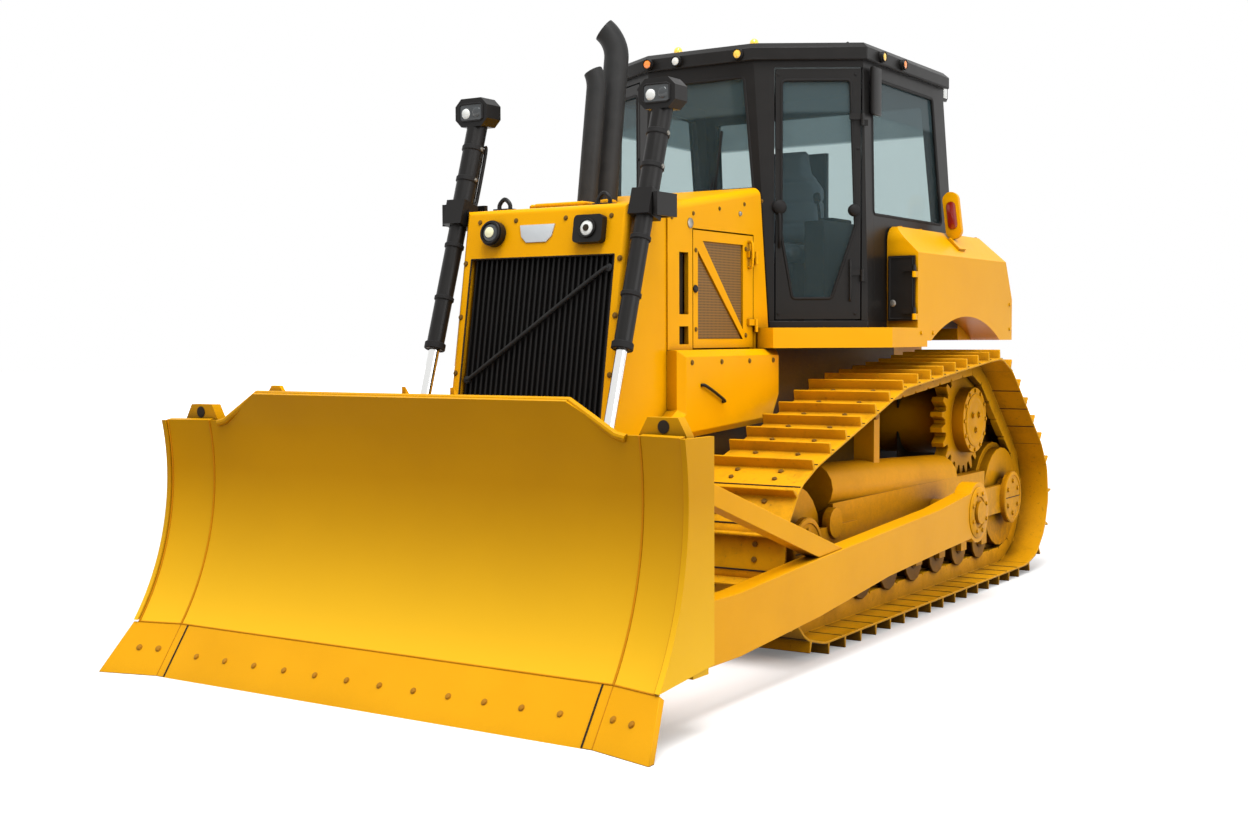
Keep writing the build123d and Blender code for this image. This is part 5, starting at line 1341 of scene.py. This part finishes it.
    def wiper(self) -> None:
        """Add the windscreen's wiper: its spindle, its arm and its blade."""
        wall, arm = self.front_wall, self.start("wiper", "rubber")
        arm.lathe(wall.at(-0.42, 0.395), wall.axes().col[2], ((0.022, -0.001), (0.022, 0.018), (0.014, 0.026),
                                                              (0, 0.026)), 20)
        arm.tube([wall.at(-0.42, 0.395, 0.022), wall.at(-0.40, 0.55, 0.016), wall.at(-0.34, 0.86, 0.012)],
                 0.0055, 8, 5)
        arm.box(wall.at(-0.325, 0.86, -0.001), (0.012, 0.52, 0.012), 0.002,
                wall.axes().to_4x4() @ Matrix.Rotation(math.radians(-9), 4, "Z"))

    def roof(self) -> None:
        """Add the roof's rain lip, its two small domes and the lifting eyes."""
        left = [(self.door.top[0] + 0.026, 1.696), (self.door.top[0] + 0.026, self.door.top[1] + 0.005),
                (self.front_wall.top[0] + 0.012, self.front_wall.top[1] - 0.026)]
        self.start("roof_lip", "rubber").tube([(x, y, self.roof_low_z + 0.003) for x, y in
                                               [(-x, y) for x, y in left] + left[::-1]], 0.007, 8, 1)
        domes = self.start("roof_domes", "warm_lens")
        for x, y in ((-0.175, 0.20), (0.310, 0.22)):
            domes.lathe((x, y, self.roof_z - 0.002), UP, ((0.026, 0), (0.026, 0.014), (0.022, 0.030),
                                                          (0.012, 0.040), (0, 0.043)), 24)
        eyes = self.start("roof_eyes", "black")
        for x in (0.70, -0.70):
            for y in (0.62, 1.55):
                eyes.tube([(x, y + along, self.roof_z + up) for along, up in (
                    (-0.03, -0.004), (-0.026, 0.022), (0, 0.038), (0.026, 0.022), (0.03, -0.004))], 0.007, 8, 5)

    def controls(self) -> None:
        """Add the control levers, the arm pads and the display inside the cab."""
        levers = self.start("control_levers", "rubber")
        pads = self.start("arm_pads", "rubber")
        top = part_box("control_console")[1][2]
        for side in (-1, 1):
            levers.tube([(side * x, y, top + up) for x, y, up in ((0.365, 0.960, -0.004), (0.365, 0.945, 0.07),
                                                                  (0.360, 0.930, 0.12))], 0.009)
            levers.lathe((side * 0.360, 0.931, top + 0.105), (0, -0.12, 1),
                         ((0.012, 0), (0.022, 0.014), (0.024, 0.045), (0.018, 0.062), (0, 0.068)), 20)
            pads.box((side * 0.365, 1.180, top + 0.012), (0.100, 0.270, 0.030), 0.012)
        display = self.start("display", "console")
        display.box((0.130, 0.330, 2.340), (0.230, 0.028, 0.150), 0.010, self.display_turn)
        display.tube([(0.130, 0.345, 2.225), (0.130, 0.340, 2.280)], 0.014, 10, 1)
        self.start("display_face", "screen_grey").box((0.130, 0.3465, 2.344), (0.200, 0.003, 0.120), 0.001,
                                                      self.display_turn)


@dataclass
class SeatCushions:
    """Padded seat and backrest, blown up as cloth and then sewn with channels."""

    half: float = 0.246
    front_y: float = 0.858
    rear_y: float = 1.338
    low_z: float = 2.013
    pad_z: float = 2.128
    back_low_z: float = 2.143
    back_high_z: float = 2.730
    back_front_y: float = 1.236
    gap: float = 6.0 * MM
    # Half width of the backrest at shares of its height, wide at the shoulders and narrow at the head
    back_widths: Profile = ((0.0, 0.225), (0.35, 0.240), (0.55, 0.238), (0.66, 0.205), (0.76, 0.150),
                            (0.90, 0.136), (1.0, 0.128))
    seat_channels: tuple[float, ...] = (0.985, 1.110, 1.235)
    back_channels: tuple[float, ...] = (2.270, 2.400, 2.530)
    channel_depth: float = 11.0 * MM
    around: int = 36
    seat_steps: int = 22
    back_steps: int = 30
    voxel: float = 5.5 * MM
    pressure: float = 4.0
    cap: float = 9.0 * MM
    frames: int = 20

    def loft(self, name: str, sections: Sequence[Section]) -> bpy.types.Object:
        """Build a closed form from oval sections.

        Args:
            name: the object's name.
            sections: middle, half width and half depth of each.
        Returns:
            The new object, linked to the scene.
        """
        form, rings = Piece(name, "fabric"), []
        for middle, wide, deep in sections:
            angles = (2 * math.pi * i / self.around for i in range(self.around))
            turns = [(math.cos(a), math.sin(a)) for a in angles]
            rings.append([form.mesh.verts.new(middle + wide * math.copysign(abs(cos) ** 0.5, cos)
                                              + deep * math.copysign(abs(sin) ** 0.62, sin))
                          for cos, sin in turns])
        form.skin(rings)
        return form.linked()

    def applied(self, pad: bpy.types.Object) -> None:
        """Apply every modifier on a pad to its mesh.

        Args:
            pad: the pad.
        """
        graph = bpy.context.evaluated_depsgraph_get()
        data = bpy.data.meshes.new_from_object(pad.evaluated_get(graph))
        pad.modifiers.clear()
        pad.data = data

    def blow_up(self, pad: bpy.types.Object) -> None:
        """Remesh a pad, blow it up as cloth and cap how far each point moves.

        Args:
            pad: the closed form.
        """
        remesh = pad.modifiers.new("even_faces", "REMESH")
        remesh.mode, remesh.voxel_size = "VOXEL", self.voxel
        self.applied(pad)
        rest = [vert.co.copy() for vert in pad.data.vertices]
        cloth = pad.modifiers.new("stuffing", "CLOTH")
        for name, value in (("quality", 4), ("mass", 0.3), ("tension_stiffness", 12),
                            ("compression_stiffness", 12), ("use_pressure", True),
                            ("uniform_pressure_force", self.pressure)):
            setattr(cloth.settings, name, value)
        cloth.settings.effector_weights.gravity = 0.0
        cloth.collision_settings.use_collision = False
        for step in range(1, self.frames + 1):
            bpy.context.scene.frame_set(step)
        self.applied(pad)
        bpy.context.scene.frame_set(1)
        for vert, start in zip(pad.data.vertices, rest):
            move = vert.co - start
            if move.length > self.cap:
                vert.co = start + move.normalized() * self.cap

    def sew(self, pad: bpy.types.Object, level: Vector, places: Sequence[float]) -> None:
        """Sew channels into a pad: its surface is drawn in along planes.

        Args:
            pad: the padded form.
            level: direction across the planes.
            places: distance of each plane along that direction.
        """
        middle = sum((vert.co for vert in pad.data.vertices), Vector()) / len(pad.data.vertices)
        for vert in pad.data.vertices:
            along = vert.co.dot(level)
            pull = max(math.exp(-((along - place) / self.channel_depth) ** 2) for place in places)
            inward = middle - vert.co
            inward -= level * inward.dot(level)
            vert.co += inward.normalized() * self.channel_depth * pull

    def finish_pad(self, pad: bpy.types.Object, low: Point, high: Point) -> None:
        """Args:
            pad: the sewn pad.
            low: low corner of the box.
            high: high corner of the box.
        """
        for vert in pad.data.vertices:
            vert.co = Vector([min(max(value, a), b) for value, a, b in zip(vert.co, low, high)])
        smooth = pad.modifiers.new("fine_faces", "SUBSURF")
        smooth.levels = smooth.render_levels = 1
        pad.data.materials.clear()
        put_on(pad, "fabric", "operator_seat")

    def build(self) -> None:
        """Build both cushions."""
        low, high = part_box("seat_cushions")
        seat = self.loft("seat_pad", self.seat_sections())
        self.blow_up(seat)
        self.sew(seat, Vector(ASTERN), self.seat_channels)
        self.finish_pad(seat, low, (high[0], high[1], self.back_low_z - self.gap))
        back = self.loft("back_pad", self.back_sections())
        self.blow_up(back)
        self.sew(back, Vector(UP), self.back_channels)
        self.finish_pad(back, (low[0], self.back_front_y - self.gap, self.back_low_z), high)
        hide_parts("seat_cushions")
        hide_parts("seat_cushions")

    def seat_sections(self) -> list[Section]:
        """Work out the seat's sections, from its front edge to its rear.

        Returns:
            The sections.
        """
        sections = []
        middle_z, half_z = (self.low_z + self.pad_z) / 2, (self.pad_z - self.low_z) / 2
        for t in (step / self.seat_steps for step in range(self.seat_steps + 1)):
            swell, round_end = math.sin(math.pi * t), max(0.05, (1 - abs(2 * t - 1) ** 7) ** (1 / 3))
            y = self.front_y + t * (self.rear_y - self.front_y)
            wide = self.half * (0.93 + 0.05 * swell) * (0.82 + 0.18 * round_end)
            sections.append((Vector((0, y, middle_z - 0.004 * swell)), Vector((wide, 0, 0)),
                             Vector((0, 0, half_z * 0.92 * round_end))))
        return sections

    def back_sections(self) -> list[Section]:
        """Work out the backrest's sections, from its foot to its head.

        Returns:
            The sections.
        """
        sections = []
        middle_y, half_y = (self.back_front_y + self.rear_y) / 2, (self.rear_y - self.back_front_y) / 2
        for t in (step / self.back_steps for step in range(self.back_steps + 1)):
            for (t0, w0), (t1, w1) in zip(self.back_widths, self.back_widths[1:]):
                if t0 <= t <= t1:
                    share = (t - t0) / (t1 - t0)
                    wide = w0 + (w1 - w0) * (share * share * (3 - 2 * share))
            round_end = max(0.05, (1 - abs(2 * t - 1) ** 9) ** (1 / 3))
            z = self.back_low_z + t * (self.back_high_z - self.back_low_z)
            sections.append((Vector((0, middle_y, z)), Vector((wide * (0.85 + 0.15 * round_end), 0, 0)),
                             Vector((0, half_y * 0.90 * round_end, 0))))
        return sections


@dataclass
class LiftFittings(Fittings):
    """Lamps, clamps, pipes and gland rings of the two lift cylinders."""

    x: float = 0.560
    yoke: tuple[float, float] = (-1.333, 2.182)
    lean: tuple[float, float] = (-0.303, -0.953)
    lamp_centre: tuple[float, float] = (-1.163, 2.716)
    lamp_size: tuple[float, float, float] = (0.205, 0.150, 0.145)
    reflector: Profile = ((0.028, 0), (0.024, 0.004), (0.013, 0.007), (0, 0.008))
    # Distance down from the yoke, outer radius and half width
    rings: tuple[Point, ...] = ((-0.36, 0.0575, 0.014), (-0.19, 0.0575, 0.014), (0.17, 0.0500, 0.012),
                                (0.45, 0.0500, 0.012), (0.70, 0.0530, 0.018))
    # Distance down from the yoke and ahead of the axis along a pipe
    pipe: Profile = ((-0.40, -0.050), (-0.36, -0.064), (-0.10, -0.066), (-0.06, -0.052))
    pipe_across: float = 0.020
    pipe_shift: float = 0.013

    def on_axis(self, down: float, ahead: float = 0.0, across: float = 0.0) -> Vector:
        """Return a place on the left cylinder: down its axis, ahead of it and outward."""
        return Vector((self.x + across, self.yoke[0] + self.lean[0] * down + self.lean[1] * ahead,
                       self.yoke[1] + self.lean[1] * down - self.lean[0] * ahead))

    def sided(self, side: Side) -> None:
        """Build the fittings of one cylinder."""
        self.housing(side)
        self.barrel(side)

    def housing(self, side: Side) -> None:
        """Add the rim, the lens and the bulb of the lamp on top of a cylinder.

        Args:
            side: the side.
        """
        (y, z), (wide, deep, high), sign = self.lamp_centre, self.lamp_size, side.value
        face = y - deep / 2
        rim = self.start("cylinder_lamp_rim", "rubber", "work_lamps", side)
        lens = self.start("cylinder_lamp_lens", "smoked_lens", "work_lamps", side)
        bulb = self.start("cylinder_lamp_bulb", "lens", "work_lamps", side)
        # The same bulb stands on the right of both lamps, so offsets across aren't mirrored
        rim.tube([(self.x + sign * wide * 0.36 * across, face - 0.0015, z + high * 0.30 * up)
                  for across, up in ((-1, -0.8), (-0.8, -1), (0.8, -1), (1, -0.8), (1, 0.8), (0.8, 1), (-0.8, 1),
                                     (-1, 0.8), (-1, -0.8))], 0.0055, 8, 1)
        lens.box((self.x, face - 0.0005, z), (wide * 0.70, 0.004, high * 0.58), 0.0018)
        bulb.lathe((self.x - sign * wide * 0.16, face - 0.0015, z - 0.006), AHEAD, self.reflector, 24)
        lens.lathe((self.x + sign * wide * 0.17, face - 0.0015, z), AHEAD, self.reflector, 24)

    def barrel(self, side: Side) -> None:
        """Add pipes, clamps and the gland ring along a barrel.

        Args:
            side: the side.
        """
        rings = self.start("barrel_rings", "rubber", "lift_barrel", side)
        for down, radius, half in self.rings:
            rings.collar(self.on_axis(down), (0, *self.lean), radius - 0.0105, radius, half)
        pipes = self.start("barrel_pipes", "black", "lift_barrel", side)
        for shift in (-self.pipe_shift, self.pipe_shift):
            pipes.tube([self.on_axis(down, ahead, side.value * shift - self.pipe_across)
                        for down, ahead in self.pipe], 0.0095, 10, 4)
        bolts = self.start("barrel_clamp_bolts", "steel", "lift_barrel", side)
        for down, _, _ in self.rings[:2]:
            for across in (-side.value, side.value):
                bolts.bolt(self.on_axis(down, 0.0, across * 0.0565), (across, 0, 0), Bolt.TRIM)


@dataclass
class TrackFittings(Fittings):
    """Bolts, caps and plugs of the running gear, and dark plates as painted shade inside it."""

    # Middle (y, z), radius and outer face of the final drive
    drive: tuple[float, float, float, float] = (1.760, 1.030, 0.205, 1.055)
    idlers: tuple[Point, ...] = ((-0.740, 0.501), (2.310, 0.501))
    idler_cap: tuple[float, float] = (0.170, 1.115)
    rollers: tuple[float, ...] = tuple(-0.295 + 0.36 * index for index in range(7))
    roller_z: float = 0.270
    roller_x: float = 1.050
    arm_pivot: tuple[float, float] = (1.040, 0.535)
    arm_face: float = 1.340
    # Where the dark plates of painted shade stand, and the outline of the one behind the sprocket
    mud_guard_x: float = 0.622
    mud_guard: Profile = ((1.56, 0.60), (2.26, 0.60), (2.30, 0.74), (2.30, 1.18), (2.18, 1.30), (1.56, 1.30))
    roller_guard_x: float = 0.827

    def sided(self, side: Side) -> None:
        """Build one side's fittings.

        Args:
            side: the side.
        """
        self.drive_hub(side)
        self.idler_caps(side)
        self.roller_caps(side)
        self.arm_joint(side)

    def drive_hub(self, side: Side) -> None:
        """Add the final drive's raised ring, its bolts and plugs, and inside it a dark plate as painted shade.

        Args:
            side: the side.
        """
        y, z, radius, x = self.drive
        ring = self.start("drive_ring", "cast_yellow", "final_drives", side)
        ring.lathe((x, y, z), OUTWARD, ((radius * 0.80, -0.002), (radius * 0.80, 0.004), (radius * 0.74, 0.008),
                                        (radius * 0.62, 0.008), (radius * 0.58, 0.004), (0, 0.004)), 40)
        bolts = self.start("drive_bolts", "cast_yellow", "final_drives", side)
        bolts.bolt_circle((x, y, z), OUTWARD, radius * 0.90, 12, Bolt.HUB)
        bolts.bolt_circle((x + 0.008, y, z), OUTWARD, radius * 0.30, 3, Bolt.HUB_PLUG, 30)
        # Painted shade: a dark plate where the gap behind the sprocket lies in shade
        self.start("mud_guard", "seam_and_shade_dark", side=side).plate(
            self.mud_guard, (self.mud_guard_x + side.value * 0.006, 0, 0), SIDEWAYS, 0.012)

    def idler_caps(self, side: Side) -> None:
        """Add the idler caps' rims, bolts and split lines.

        Args:
            side: the side.
        """
        radius, x = self.idler_cap
        rims = self.start("idler_rims", "cast_yellow", "idlers", side)
        bolts = self.start("idler_bolts", "cast_yellow", "idlers", side)
        split = self.start("idler_split", "seam_and_shade_dark", "idlers", side)
        for centre in self.idlers:
            rims.lathe((x, *centre), OUTWARD, (
                (radius * 0.97, -0.002), (radius * 0.97, 0.003), (radius * 0.92, 0.006), (radius * 0.84, 0.006),
                (radius * 0.82, 0.001), (0, 0.001)), 40)
            bolts.bolt_circle((x + 0.001, *centre), OUTWARD, radius * 0.62, 6, Bolt.CAP, 30)
            split.box((x + 0.001, *centre), (0.004, radius * 1.62, 0.005), 0.001)

    def roller_caps(self, side: Side) -> None:
        """Add caps and plugs on the rollers' outer faces, and inside them a dark plate as painted shade.

        Args:
            side: the side.
        """
        caps = self.start("roller_caps", "roller_yellow", "track_rollers", side)
        plugs = self.start("roller_plugs", "seam_and_shade_dark", "track_rollers", side)
        for y in self.rollers:
            caps.lathe((self.roller_x, y, self.roller_z), OUTWARD,
                       ((0.052, -0.001), (0.052, 0.005), (0.044, 0.009), (0, 0.009)), 24)
            plugs.bolt((self.roller_x + 0.009, y, self.roller_z), OUTWARD, Bolt.ROLLER)
        low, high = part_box("track_rollers")
        # Painted shade: a dark plate behind the rollers, where the gaps between them lie in shade
        self.start("roller_guard", "seam_and_shade_dark", "track_frame", side).box(
            (self.roller_guard_x, (low[1] + high[1]) / 2, 0.290), (0.008, high[1] - low[1] - 0.02, 0.210), 0.002)

    def arm_joint(self, side: Side) -> None:
        """Add the push arm's cap and its bolts.

        Args:
            side: the side.
        """
        cap = self.start("arm_cap", "cast_yellow", "push_arms", side)
        cap.lathe((self.arm_face, *self.arm_pivot), OUTWARD, (
            (0.150, -0.002), (0.150, 0.004), (0.138, 0.010), (0.092, 0.010), (0.088, 0.003), (0.072, 0.003)), 40)
        cap.bolt_circle((self.arm_face + 0.010, *self.arm_pivot), OUTWARD, 0.115, 8, Bolt.HUB, 22)


@dataclass
class ShoeFittings(Fittings):
    """Shoe bolts and the dark joints between shoes, along both chains."""

    # Middle (y, z) and radius of each curve that the chain runs round
    circles: tuple[Point, ...] = ((-0.740, 0.501, 0.385), (2.310, 0.501, 0.385), (1.760, 1.030, 0.330),
                                  (0.290, 1.134, 0.088))
    shoe_count: int = 46
    plate_top: float = 0.062
    plate_low: float = 0.0500
    track_x: float = 0.935
    shoe_half: float = 0.280
    bolt_half: float = 0.118
    bolt_shares: tuple[float, float] = (0.42, 0.80)
    head: Profile = ((0.0135, 0.0), (0.0135, 0.008), (0.011, 0.010))

    def lines(self) -> list[tuple[Vector, Vector, float]]:
        """Work out the chain's straight runs.

        Returns:
            Start, end and angle of the outward normal of each.
        """
        lines = []
        for (y_a, z_a, r_a), (y_b, z_b, r_b) in zip(self.circles, self.circles[1:] + self.circles[:1]):
            rise = math.atan2(z_b - z_a, y_b - y_a)
            normal = rise - math.asin((r_b - r_a) / math.hypot(y_b - y_a, z_b - z_a)) - math.pi / 2
            out = Vector((math.cos(normal), math.sin(normal)))
            lines.append((Vector((y_a, z_a)) + out * r_a, Vector((y_b, z_b)) + out * r_b, normal))
        return lines

    def pins(self) -> list[Vector]:
        """Work out the (y, z) places of the chain's pins.

        Returns:
            The places in order.
        """
        lines, parts = self.lines(), []
        for index, (start, end, normal) in enumerate(lines):
            follower = (index + 1) % len(lines)
            y, z, radius = self.circles[follower]
            turn = (lines[follower][2] - normal) % (2 * math.pi)
            parts += [((end - start).length, start, end), (radius * turn, Vector((y, z)), (normal, radius))]
        total, places = sum(part[0] for part in parts), []
        for index in range(self.shoe_count):
            travel, number = total * index / self.shoe_count, 0
            while travel > parts[number][0]:
                travel, number = travel - parts[number][0], number + 1
            length, first, second = parts[number]
            if number % 2 == 0:
                places.append(first.lerp(second, travel / length))
            else:
                angle = second[0] + travel / second[1]
                places.append(first + Vector((math.cos(angle), math.sin(angle))) * second[1])
        return places

    def sided(self, side: Side) -> None:
        """Build one chain's bolts and joints.

        Args:
            side: the side.
        """
        pins, ends = self.pins(), []
        bolts = self.start("shoe_bolts", "steel_dark", side=side)
        joints = self.start("shoe_joints", "seam_and_shade_dark", side=side)
        for pin, follower in zip(pins, pins[1:] + pins[:1]):
            run = follower - pin
            out = Vector((run.y, -run.x)).normalized()
            ends.append((pin + run * 0.06 + out * self.plate_top, pin + run * 0.94 + out * self.plate_top,
                         pin + out * self.plate_low))
            for share in self.bolt_shares:
                place = pin + run * share + out * (self.plate_top - 0.001)
                for across in (-self.bolt_half, self.bolt_half):
                    bolts.lathe((self.track_x + side.value * across, *place), (0, *out), self.head, 6)
        half = side.value * (self.shoe_half - 0.002)
        for (_, high, _), (low, _, inner) in zip(ends, ends[1:] + ends[:1]):
            for spot in ((high + low) / 2, inner):
                joints.tube([(self.track_x - half, *spot), (self.track_x + half, *spot)], 0.0042, 6, 1)


@dataclass
class FenderFittings(Fittings):
    """Latches, bolts, tail lenses, tank plate and grab rails behind the cab."""

    # Inner, outer, low and high edge of the locker's cover, and its face
    cover: tuple[float, float, float, float] = (0.904, 1.066, 1.645, 2.015)
    cover_y: float = 0.732
    rim_inset: float = 0.012
    fender_x: float = 1.080
    fender_top: tuple[float, float] = (0.908, 2.190)
    tail: tuple[float, float, float] = (0.980, 1.550, 2.295)
    tail_lean: float = math.radians(7)
    tail_radius: float = 0.030
    tail_half: float = 0.055
    tank_rear: float = 2.370
    rail_x: float = 0.80

    def sided(self, side: Side) -> None:
        """Build one side's cover latch and rim, tail lens and fender bolts.

        Args:
            side: the side.
        """
        inner, outer, low, high = self.cover
        self.start("cover_latch", "steel", "access_cover", side).lathe(
            (inner + 0.030, self.cover_y, low + 0.10), AHEAD,
            ((0.020, -0.001), (0.020, 0.003), (0.013, 0.005), (0.013, 0.008), (0, 0.009)), 24)
        left, right = inner + self.rim_inset, outer - self.rim_inset
        base, top = low + self.rim_inset, high - self.rim_inset
        self.start("cover_rim", "rubber", "access_cover", side).tube(
            [(x, self.cover_y - 0.002, z) for x, z in ((left, base), (right, base), (right, top), (left, top),
                                                       (left, base))], 0.0045, 8, 1)
        lens = self.start("tail_lens", "red_lens", "tail_lamps", side)
        x, y, z = self.tail
        lean = Matrix.Rotation(-side.value * self.tail_lean, 4, "Y")
        outline = [(self.tail_radius * math.cos(a), math.copysign(self.tail_half, math.pi - a)
                    + self.tail_radius * math.sin(a)) for a in (math.pi * (k + 0.5) / 8 for k in range(16))]
        for back in (-1, 1):
            lens.plate(outline, (x, y + back * 0.0225, z), lean @ frame_axes((0, back, 0)), 0.007, 0.004)
        bolts = self.start("fender_bolts", "sheet_yellow", "fender", side)
        for y, z in ((0.80, 1.575), (0.98, 1.575), (2.320, 1.60), (2.320, 1.76)):
            bolts.bolt((self.fender_x, y, z), OUTWARD, Bolt.PANEL)
        for y in (0.90, 1.20, 1.85, 2.15):
            bolts.bolt((self.fender_top[0], y, self.fender_top[1]), UP, Bolt.SHEET)

    def middle(self) -> None:
        """Add the tank's filler cap and plate, the hull's rear cover and the grab rails."""
        self.start("filler_cap", "black", "fuel_tank").lathe(
            (0.55, 2.20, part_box("fuel_tank")[1][2] - 0.002), UP,
            ((0.052, 0), (0.052, 0.012), (0.046, 0.016), (0.046, 0.034), (0.040, 0.040), (0, 0.041)))
        plate = self.start("tank_plate", "sheet_yellow", "fuel_tank")
        plate.box((0, self.tank_rear + 0.002, 1.660), (1.360, 0.008, 0.210), 0.003)
        for x in (-0.64, -0.32, 0.0, 0.32, 0.64):
            for z in (1.580, 1.740):
                plate.bolt((x, self.tank_rear + 0.006, z), ASTERN, Bolt.PANEL)
        cover = self.start("rear_cover", "plate_yellow")
        hull_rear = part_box("main_frame")[1][1]
        cover.lathe((0, hull_rear, 0.90), ASTERN, ((0.150, -0.001), (0.150, 0.010), (0.140, 0.016),
                                                   (0.060, 0.016), (0.055, 0.024), (0, 0.024)), 40)
        cover.bolt_circle((0, hull_rear + 0.016, 0.90), ASTERN, 0.118, 8, Bolt.HULL, 22.5)
        rails = self.start("rear_grab_rails", "black", "fuel_tank")
        for x in (-self.rail_x, self.rail_x):
            rails.tube([(x, self.tank_rear + out, z) for out, z in ((-0.01, 1.575), (0.026, 1.590), (0.026, 1.745),
                                                                    (-0.01, 1.760))], 0.011)


def main() -> None:
    """Build the studio and every dressed piece in order."""
    for group in (Studio, CadDress, BladeFittings, NoseFittings, HoodFittings, CabFittings, SeatCushions,
                  LiftFittings, TrackFittings, ShoeFittings, FenderFittings):
        group().build()


if __name__ == "__main__":
    main()
